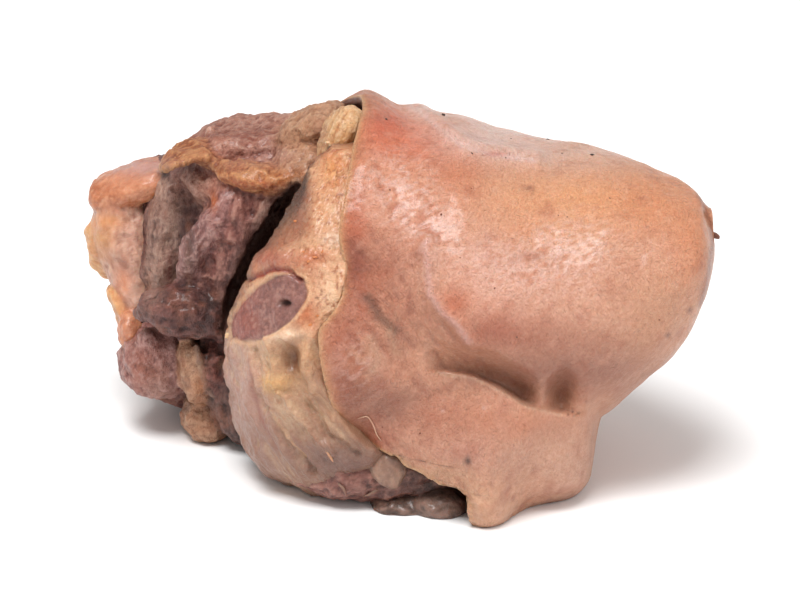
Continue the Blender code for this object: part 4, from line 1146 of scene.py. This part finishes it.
def torn_side():
    """The torn far side grown into one skin: masses, strands, chunks, the browned ledge and the ribbon."""
    points, faces = plain_tube(GAP, 60, 48, 9, 0.8, 51)
    cutter = linked("gap", outward_mesh("gap", points, faces))
    meat = [
        # masses that fill the far side, a shade-toned mass low down as painted shade, and the meat under the
        # rim of the rind
        Lobe("dark", (-42, 33, 43), (32, 17, 41), power=2.6, fibre_axis=2, lumps=16, lump_height=1.4),
        Lobe("shade", (-40, 13, 15), (13, 13, 15), power=2.3, fibre_axis=2, lump_height=1.2),
        Lobe("mauve", (-20, 22, 73), (17, 22, 16), power=2.4, lumps=12, lump_height=1.2),
        Lobe("purple", (-52, 36, 22), (24, 15, 21), power=2.5, fibre_axis=2, lumps=14, lump_height=1.2),
        # the rough plate on top, with a raised back edge, and what fills under the rim
        Lobe("mauve", (-36, 26, 78.5), (24, 17, 7), (22, -4, -6), 2.8, lumps=6, lump_height=1.5,
             fibre=1.5, fibre_height=0.4, squeeze=0.6),
        Lobe("tan", (-22, 17, 84), (12, 15, 8), (14, -8, 0), 2.6, lumps=5, lump_height=1.2,
             fibre=1.3, fibre_height=0.35, squeeze=0.7),
        Strand("mauve", (at(-56, 84, 22), at(-48, 86.5, 24), at(-38, 87, 25), at(-28, 89.5, 24)),
               (1.6, 2.6, 2.8, 2), (5, 6, 6, 5), lumps=5, lump_height=1.1, fibre=1, fibre_height=0.4),
        Strand("tan", (at(-31, 90.5, 22), at(-24, 92.5, 17), at(-16, 94, 14)), (2.6, 3.6, 4), (7, 8, 9),
               lumps=5, lump_height=0.8, fibre=1, fibre_height=0.3),
        Strand("rim_fat", (at(-20, 79.5, 2), at(-16.2, 88.5, 3), at(-12.4, 96.2, 7.5)),
               (3.2, 5, 4.6), (5, 7, 7.5), lumps=4, lump_height=0.6, fibre=1, fibre_height=0.4),
        # the central mass, the flat blade and low bundles on it
        Strand("purple", (at(-36, 81, 18), at(-41, 68, 15), at(-44, 52, 13), at(-48, 34, 14)),
               (10, 12, 10.5, 6.5), (9, 10, 9, 6), lumps=9, lump_height=1.3, fibre=1.9, fibre_height=0.6),
        Strand("lilac", (at(-45.5, 74, 9), at(-50.5, 66, 8.5), at(-56, 58, 9.5), at(-60, 46, 13)),
               (2.6, 4.4, 4.6, 2), (2.2, 3, 3, 2.2), 24, lump_height=0.5, fibre=1.2, fibre_height=0.35),
        Strand("purple", (at(-42, 76, 9), at(-42.5, 66, 7), at(-44, 56, 6.5), at(-45, 46, 9)),
               (3, 4, 3.6, 2), (2.4, 2.8, 2.8, 2.2), lump_height=0.7, fibre=1.1, fibre_height=0.5),
        Strand("mauve", (at(-33, 73.5, 8.5), at(-36, 67, 7), at(-40.5, 61.5, 7)),
               (3.4, 4.4, 2.2), (2.6, 3.4, 2.4), lumps=5, lump_height=0.9, fibre=1.1, fibre_height=0.4),
        # the flat grey strand on the left with its red-brown edge
        Strand("grey_tan", (at(-60, 79, 28), at(-62.5, 68, 25), at(-63.5, 54, 24), at(-61, 38, 24)),
               (5.5, 6, 6, 6.5), (5, 6.5, 6.5, 6), lumps=8, lump_height=0.7, fibre=1.3, fibre_height=0.35),
        Lobe("dark", (-62, 38, 50), (12, 9, 26), (0, -8, 0), power=2.5, fibre_axis=2),
        Lobe("purple", at(-53, 48, 12), (6, 5, 6)),
        Lobe("red", at(-50, 32, 13), (6, 5, 5)),
        # the browned ledge and the curled ribbon with the flake that stands on it
        Strand("ochre", (at(-50, 80.5, 15), at(-41, 78.2, 10), at(-32, 77.2, 8), at(-24.5, 78.5, 8)),
               (2.4, 3.4, 3.6, 2.6), (4, 6, 6, 5), lumps=5, lump_height=0.8, fibre=1, fibre_height=0.45),
        Strand("ochre", (at(-65, 79, 10), at(-61.5, 82, 13), at(-56, 84.4, 18), at(-48, 82.5, 24)),
               (1.4, 1.8, 2.4, 3.6), (3, 5, 7, 8), lump_height=0.4, fibre=0.9, fibre_height=0.3),
        Strand("mauve", (at(-49, 86, 30), at(-51, 89, 30), at(-51.8, 92, 30)),
               (3.6, 2, 0.8), (3, 2, 0.9), lump_height=0.3, fibre_height=0.2),
        # the dark pointed chunk in two layers
        Strand("dark", (at(-73, 39.5, 12), at(-67, 42, 10), at(-59, 41.5, 9), at(-51, 36, 10)),
               (1.4, 5.6, 8, 5), (2, 6, 8, 7), lumps=7, lump_height=1.1, fibre=1.3, fibre_height=0.45),
        Strand("dark", (at(-66, 46, 12), at(-60, 44.5, 8), at(-52, 40, 7), at(-46, 33, 9)),
               (1.4, 3.2, 4.6, 3), (2, 4, 5, 4), lumps=6, lump_height=0.8, fibre=1, fibre_height=0.4),
        # the lower left
        Lobe("lilac", at(-65.5, 29, 22), (12, 12, 11), (0, -32, 0), 2.3, fibre_axis=2, lumps=10,
             lump_height=1.4, fibre=1.6, fibre_height=0.5),
        Strand("lilac", (at(-70, 37, 15), at(-68, 28, 14.5), at(-62, 18, 16)), (3, 4.4, 3), (3, 3.5, 3),
               lumps=7, lump_height=0.8, fibre=1.1, fibre_height=0.5),
        Strand("tan", (at(-59.5, 35, 12), at(-57.5, 26, 10.5), at(-54, 16, 12)), (2, 4, 4.6), (4, 6, 5),
               lumps=8, lump_height=0.9, fibre=1.6, fibre_height=0.3),
        Lobe("tan", at(-53, 12.2, 18), (7.8, 10, 7.4), (0, 20, 0), lumps=8, lump_height=1.2,
             fibre_height=0.2),
        Lobe("red", at(-50.5, 24.5, 10), (4.4, 6, 9), (0, -12, 0), fibre_axis=2, lumps=7, lump_height=0.8,
             fibre_height=0.2),
        Strand("tongue", (at(-56, 33, 7), at(-55.2, 26, 6), at(-52, 19, 6), at(-47.5, 16.5, 7)),
               (0.7, 0.7, 0.8, 0.7), (1.6, 1.6, 1.6, 1.2), lumps=3, lump_height=0.35, fibre_height=0.1),
    ]
    grown_flesh("torn_side", meat, 0.60, TORN_MEAT, TORN_PATCHES, 1, 8, cutter)
    bpy.data.objects.remove(cutter)
    fat = [
        Strand("lip", (at(-84.5, 71.5, 40), at(-80, 73.8, 39), at(-71, 76.5, 36), at(-61, 79, 33)),
               (2.8, 4.8, 5.2, 5.2), (5, 9, 10, 10), lumps=9, lump_height=0.7, fibre=3, fibre_height=0.08,
               squeeze=0.5),
        Lobe("yellow", at(-80.5, 59, 36), (5.8, 6, 9.5), (0, -14, 0), lumps=7, lump_height=1.2,
             fibre_height=0.25),
        Strand("pink_fat", (at(-76, 74, 37), at(-75, 62, 33), at(-72, 50, 30), at(-69, 40, 26)),
               (9, 9, 7, 5), (8, 8, 7, 6), lumps=9, lump_height=0.9, fibre=3, fibre_height=0.12,
               squeeze=0.3),
        Strand("yellow", (at(-79, 49, 32), at(-76, 42.5, 29), at(-74, 37, 27)), (3.4, 3, 3.4), (5, 5, 5),
               lumps=6, lump_height=0.7, fibre_height=0.25),
        Lobe("lip", at(-74.4, 36.5, 24), (3.4, 7, 6), lumps=6, lump_height=0.8, fibre_height=0.2),
        Lobe("cream", at(-73.5, 56.5, 29.5), (3.6, 3, 4.6), (0, 20, 0), lumps=5, lump_height=0.7,
             fibre_height=0.1),
    ]
    grown_flesh("rear_fat", fat, 0.55, FAT, TORN_PATCHES, 0.45, 12)


def underside():
    """What shows under the near cut and the flap: a dark mass as painted shade in the hollow, muscle, tongue
    of silverskin, pale lumps.
    """
    meat = [
        # a dark mass as painted shade in the hollow under the flap and the near cut
        Lobe("shade", (-3, -8, 9), (28, 28, 10), power=2.8, lumps=14, lump_height=1.2),
        Lobe("purple", (-12, -19, 9.5), (20, 17, 9.5), power=2.3, lumps=12, lump_height=1, fibre=1.4,
             fibre_height=0.35),
    ]
    grown_flesh("lower_meat", meat, 0.7, CUT_FACE, ())
    fat = [
        Strand("tongue", (at(-6, 6, -29), at(-4.6, 0.5, -33.5), at(-2.6, -4, -36), at(-1.4, -8, -37)),
               (6.8, 6.2, 4.6, 1.8), (2, 2.4, 2.2, 1.6), lumps=6, lump_height=0.4, fibre_height=0.12),
        Lobe("cavity", at(1, -12.5, -30), (9, 8, 4.5), lumps=6, lump_height=0.9, fibre_height=0.2),
        Lobe("cavity", at(11, -12.5, -33), (8, 7, 5.5), lumps=6, lump_height=0.9, fibre_height=0.2),
    ]
    grown_flesh("under_lumps", fat, 0.5, FAT, (), 0.3)


# Materials

MEAT_IOR = 1.42
COAT_ROUGHNESS = 0.2
SCATTER_RADIUS = (1.0, 0.34, 0.18)
SCATTER_DEPTH = 1.6
NOISE_RANGE = (0.32, 0.68)
STREAK_STRETCH = 3.6


def roasted(name, grain, fine, rough, coat, scatter, mottle, lean=0.0):
    """Moist roasted surface: the painted colour, finely mottled, with bumps of two sizes and a wet coat.

    grain and fine are (size in mm, height in mm) of bumps, mottle is (size in mm, share, tint). With a
    lean in degrees, the fine bumps run in streaks that lean both ways from upright and cross.
    """
    material = bpy.data.materials.new(name)
    material.use_nodes = True
    tree = material.node_tree
    shader = tree.nodes["Principled BSDF"]
    paint_in = tree.nodes.new("ShaderNodeAttribute")
    paint_in.attribute_name = "paint"
    wet_in = tree.nodes.new("ShaderNodeAttribute")
    wet_in.attribute_name = "wet"
    place = tree.nodes.new("ShaderNodeTexCoord").outputs["Object"]

    def leaning(angle):
        node = tree.nodes.new("ShaderNodeMapping")
        node.vector_type = "TEXTURE"
        node.inputs["Rotation"].default_value = (0.0, math.radians(90.0 + angle), 0.0)
        node.inputs["Scale"].default_value = (STREAK_STRETCH, 1.0, 1.0)
        tree.links.new(place, node.inputs["Vector"])
        return node.outputs["Vector"]

    def noise(vector, size, detail):
        node = tree.nodes.new("ShaderNodeTexNoise")
        node.inputs["Scale"].default_value = 1.0 / (size * MM)
        node.inputs["Detail"].default_value = detail
        node.inputs["Roughness"].default_value = 0.62
        tree.links.new(vector, node.inputs["Vector"])
        return node.outputs["Fac"]

    def scaled(source_value, low, high):
        node = tree.nodes.new("ShaderNodeMapRange")
        node.inputs["From Min"].default_value = NOISE_RANGE[0]
        node.inputs["From Max"].default_value = NOISE_RANGE[1]
        node.inputs["To Min"].default_value = low
        node.inputs["To Max"].default_value = high
        tree.links.new(source_value, node.inputs["Value"])
        return node.outputs["Result"]

    def tinted(colour, factor, tint, blend):
        node = tree.nodes.new("ShaderNodeMix")
        node.data_type = "RGBA"
        node.blend_type = blend
        node.inputs["B"].default_value = (*tint, 1.0)
        tree.links.new(factor, node.inputs["Factor"])
        tree.links.new(colour, node.inputs["A"])
        return node.outputs["Result"]

    def bumped(height, distance, below):
        node = tree.nodes.new("ShaderNodeBump")
        node.inputs["Distance"].default_value = distance * MM
        tree.links.new(height, node.inputs["Height"])
        if below is not None:
            tree.links.new(below, node.inputs["Normal"])
        return node.outputs["Normal"]

    mottle_size, mottle_share, mottle_tint = mottle
    streaks = [leaning(lean), leaning(-lean)] if lean else [place]
    fine_fields = [noise(vector, fine[0], 3.0) for vector in streaks]
    colour = tinted(paint_in.outputs["Color"], scaled(noise(place, mottle_size, 4.0), 0.0, mottle_share),
                    mottle_tint, "MULTIPLY")
    for field in fine_fields:
        colour = tinted(colour, scaled(field, 0.75 * mottle_share, 0.0), mottle_tint, "MULTIPLY")
    tree.links.new(colour, shader.inputs["Base Color"])

    wetness = tree.nodes.new("ShaderNodeMapRange")
    wetness.inputs["To Min"].default_value = rough + 0.14
    wetness.inputs["To Max"].default_value = rough - 0.12
    tree.links.new(wet_in.outputs["Fac"], wetness.inputs["Value"])
    tree.links.new(wetness.outputs["Result"], shader.inputs["Roughness"])

    normal = bumped(noise(place, grain[0], 3.0), grain[1], None)
    for field in fine_fields:
        normal = bumped(field, fine[1], normal)
    tree.links.new(normal, shader.inputs["Normal"])

    shader.inputs["Metallic"].default_value = 0.0
    shader.inputs["IOR"].default_value = MEAT_IOR
    shader.inputs["Coat Weight"].default_value = coat
    shader.inputs["Coat Roughness"].default_value = COAT_ROUGHNESS
    shader.inputs["Subsurface Weight"].default_value = scatter
    shader.inputs["Subsurface Radius"].default_value = SCATTER_RADIUS
    shader.inputs["Subsurface Scale"].default_value = SCATTER_DEPTH * MM
    return material


RIND_SKIN = roasted("rind_skin", (1.3, 0.9), (0.42, 0.6), 0.40, 0.32, 0.2,
                    (1.3, 0.6, (0.80, 0.66, 0.58)), 32.0)
FAT = roasted("moist_fat", (1.5, 0.4), (0.5, 0.18), 0.42, 0.30, 0.35, (2.0, 0.5, (0.84, 0.68, 0.58)))
CUT_FACE = roasted("cut_face", (1.2, 0.6), (0.4, 0.3), 0.40, 0.3, 0.2,
                   (1.2, 0.6, (0.76, 0.60, 0.50)))
TORN_MEAT = roasted("torn_flesh", (0.9, 0.6), (0.32, 0.4), 0.46, 0.22, 0.12,
                    (0.9, 0.5, (0.70, 0.56, 0.52)), 14.0)
PEPPER = roasted("peppercorn", (0.8, 0.2), (0.4, 0.1), 0.6, 0.05, 0.02, (0.6, 0.5, (0.7, 0.6, 0.5)))


# Small things on the surface: (x, height in the front view, radius)
PEPPER_SPECKS = ((-3.8, 93.9, 0.45), (11.8, 95, 0.65), (40.3, 88.4, 0.6), (52.6, 84.2, 0.7),
                 (19.8, 84.6, 0.3), (29, 83.4, 0.3), (30.4, 88.6, 0.3), (44.4, 84.6, 0.3),
                 (57.5, 72.3, 0.25), (32, 34.2, 0.25))
BROWN_SPECKS = ((-2.7, 74.6, 0.35), (11.2, 67.8, 0.4), (25.9, 47.7, 0.3), (45.8, 67.2, 0.35),
                (43.4, 67.6, 0.3), (71, 39, 0.3), (16.5, 56, 0.25), (-4.8, 9.5, 0.25), (5.5, 8, 0.3),
                (19.5, 75, 0.25))
CRUMBS = ((-26.5, 57.6, 0.5), (-23.2, 56.2, 0.6), (-21.4, 57.6, 0.5), (-25, 55, 0.5),
          (-22.6, 40, 0.6), (-24.6, 37.6, 0.5), (-28.6, 66, 0.6))
FLECKS = ((-19.7, 87.2, 1.2), (-47.2, 34.8, 0.9))
SPECK_SINK = 0.2
# The thin filament and the shreds: kind of flesh, path as (x, height, mm out of the skin), half-widths,
# half-depths, height of its lumps
SHREDS = (
    ("thread", ((-11.8, 12, 0.25), (-9.2, 12.7, 0.25), (-7.2, 10.2, 0.25), (-6.2, 7.6, 0.25),
                (-4.9, 5.8, 0.25)), (0.1, 0.16, 0.16, 0.1), (0.1, 0.16, 0.16, 0.1), 0),
    ("tongue", ((-17, -5.8, 0), (-15.4, -7, 0.5), (-14.8, -8.6, 0.7)), (0.35, 0.4, 0.2),
     (0.25, 0.25, 0.2), 0.1),
    ("tongue", ((-6, -7.4, 0), (-8, -8.6, 0.5), (-10, -9, 0.3)), (0.4, 0.4, 0.25), (0.3, 0.3, 0.25), 0.1),
    ("tan", ((-20.6, 3.4, -0.2), (-19.2, 1.8, 0.1), (-18.2, 0.2, 0.3)), (0.35, 0.4, 0.2),
     (0.2, 0.25, 0.2), 0.1),
)


def landing(x, height, out=0.0):
    """Point of the skin that shows at a place of the front view, moved out by some mm along its normal."""
    camera = VIEW_CENTRE + VIEW_DISTANCE * TO_VIEWER
    rise = height - VIEW_MIDDLE
    aim = VIEW_CENTRE + np.array((x, rise * TILT_SIN, rise * TILT_COS)) - camera
    view = bpy.context.evaluated_depsgraph_get()
    start = mathutils.Vector((camera + SHIFT) * MM)
    hit, place, normal, _, _, _ = bpy.context.scene.ray_cast(view, start, mathutils.Vector(aim).normalized())
    if not hit:
        return np.array(at(x, height, -5.0))
    return np.array(place) / MM - SHIFT + out * np.array(normal)


def scattered(name, shapes, material):
    """Small shapes that lie on the skin, as one piece."""
    points, faces = plain_tubes(shapes, *GRAIN_MESH)
    colours = [np.broadcast_to(tone(*FLESH[shape.tones][1]), tube.shape)
               for shape, tube in zip(shapes, points)]
    make_piece(name, rest_on_floor(np.vstack(points)), faces, np.vstack(colours), material)


def small_things():
    """Peppercorn specks, crumbs, shreds, a thin filament and the browned tip of the far end."""
    bpy.context.view_layer.update()
    draw = np.random.default_rng(7)

    def crumbs(tones, places, squash):
        grains = []
        for x, height, size in places:
            radii = (size, size * draw.uniform(0.7, 1.0), size * squash)
            turn = draw.uniform(-60.0, 60.0, 3)
            grains.append(Lobe(tones, landing(x, height, -SPECK_SINK * size), radii, turn,
                               lumps=1.2 * size, lump_height=0.4 * size))
        return grains

    scattered("pepper_specks", crumbs("pepper", PEPPER_SPECKS, 0.6) + crumbs("burnt", BROWN_SPECKS, 0.4),
              PEPPER)
    shreds = [Strand(tones, [landing(*place) for place in path], widths, depths, lumps=2, lump_height=lump)
              for tones, path, widths, depths, lump in SHREDS]
    burr = Lobe("burnt", at(85.8, 62.0, -5.0), (1.5, 0.8, 0.8), (0, 30, 0), lumps=1.6, lump_height=0.15)
    scattered("shreds", shreds, FAT)
    scattered("crumbs", crumbs("ochre", CRUMBS, 0.6) + crumbs("cream", FLECKS, 0.6) + [burr], FAT)


# Stage, lights and camera

FLOOR_TONE = 0.93
AIR_LIGHT = 0.5
# Lamps: name, place, width in metres, watts
LAMPS = (("key", (-0.5, -0.95, 2.9), 1.4, 100.0), ("fill", (1.8, -1.0, 1.4), 1.6, 12.0))
LAMP_AIM = (0.0, 0.0, 0.05)


def stage():
    """Pale floor, a wide soft light from above and in front, a weaker one from the right, and the camera."""
    scene = bpy.context.scene
    scene.view_settings.view_transform = "Standard"
    work = bmesh.new()
    bmesh.ops.create_grid(work, x_segments=1, y_segments=1, size=5.0)
    mesh = bpy.data.meshes.new("floor")
    work.to_mesh(mesh)
    work.free()
    floor = linked("floor", mesh)
    pale = bpy.data.materials.new("pale_floor")
    pale.use_nodes = True
    shader = pale.node_tree.nodes["Principled BSDF"]
    shader.inputs["Base Color"].default_value = (FLOOR_TONE, FLOOR_TONE, FLOOR_TONE, 1.0)
    shader.inputs["Roughness"].default_value = 0.9
    shader.inputs["Specular IOR Level"].default_value = 0.1
    mesh.materials.append(pale)

    world = bpy.data.worlds.new("studio")
    scene.world = world
    world.use_nodes = True
    air = world.node_tree.nodes["Background"]
    air.inputs["Color"].default_value = (1.0, 0.99, 0.98, 1.0)
    air.inputs["Strength"].default_value = AIR_LIGHT

    for name, place, size, power in LAMPS:
        lamp = bpy.data.lights.new(name, "AREA")
        lamp.shape = "RECTANGLE"
        lamp.size = size
        lamp.size_y = size
        lamp.energy = power
        holder = linked(name, lamp)
        holder.location = place
        aim = np.array(LAMP_AIM) - np.array(place)
        holder.rotation_euler = mathutils.Vector(aim).to_track_quat("-Z", "Y").to_euler()

    camera = bpy.data.cameras.new("camera")
    camera.sensor_width = SENSOR_WIDTH
    camera.lens = PIXELS_PER_MM * VIEW_DISTANCE * SENSOR_WIDTH / PICTURE_WIDTH
    camera.clip_end = 20.0
    holder = linked("camera", camera)
    holder.location = (VIEW_CENTRE + SHIFT) * MM + TO_VIEWER * VIEW_DISTANCE * MM
    holder.rotation_euler = (math.pi / 2.0 - VIEW_TILT, 0.0, 0.0)
    scene.camera = holder


rind()
near_cut()
torn_side()
underside()
small_things()
stage()

bpy.context.view_layer.update()
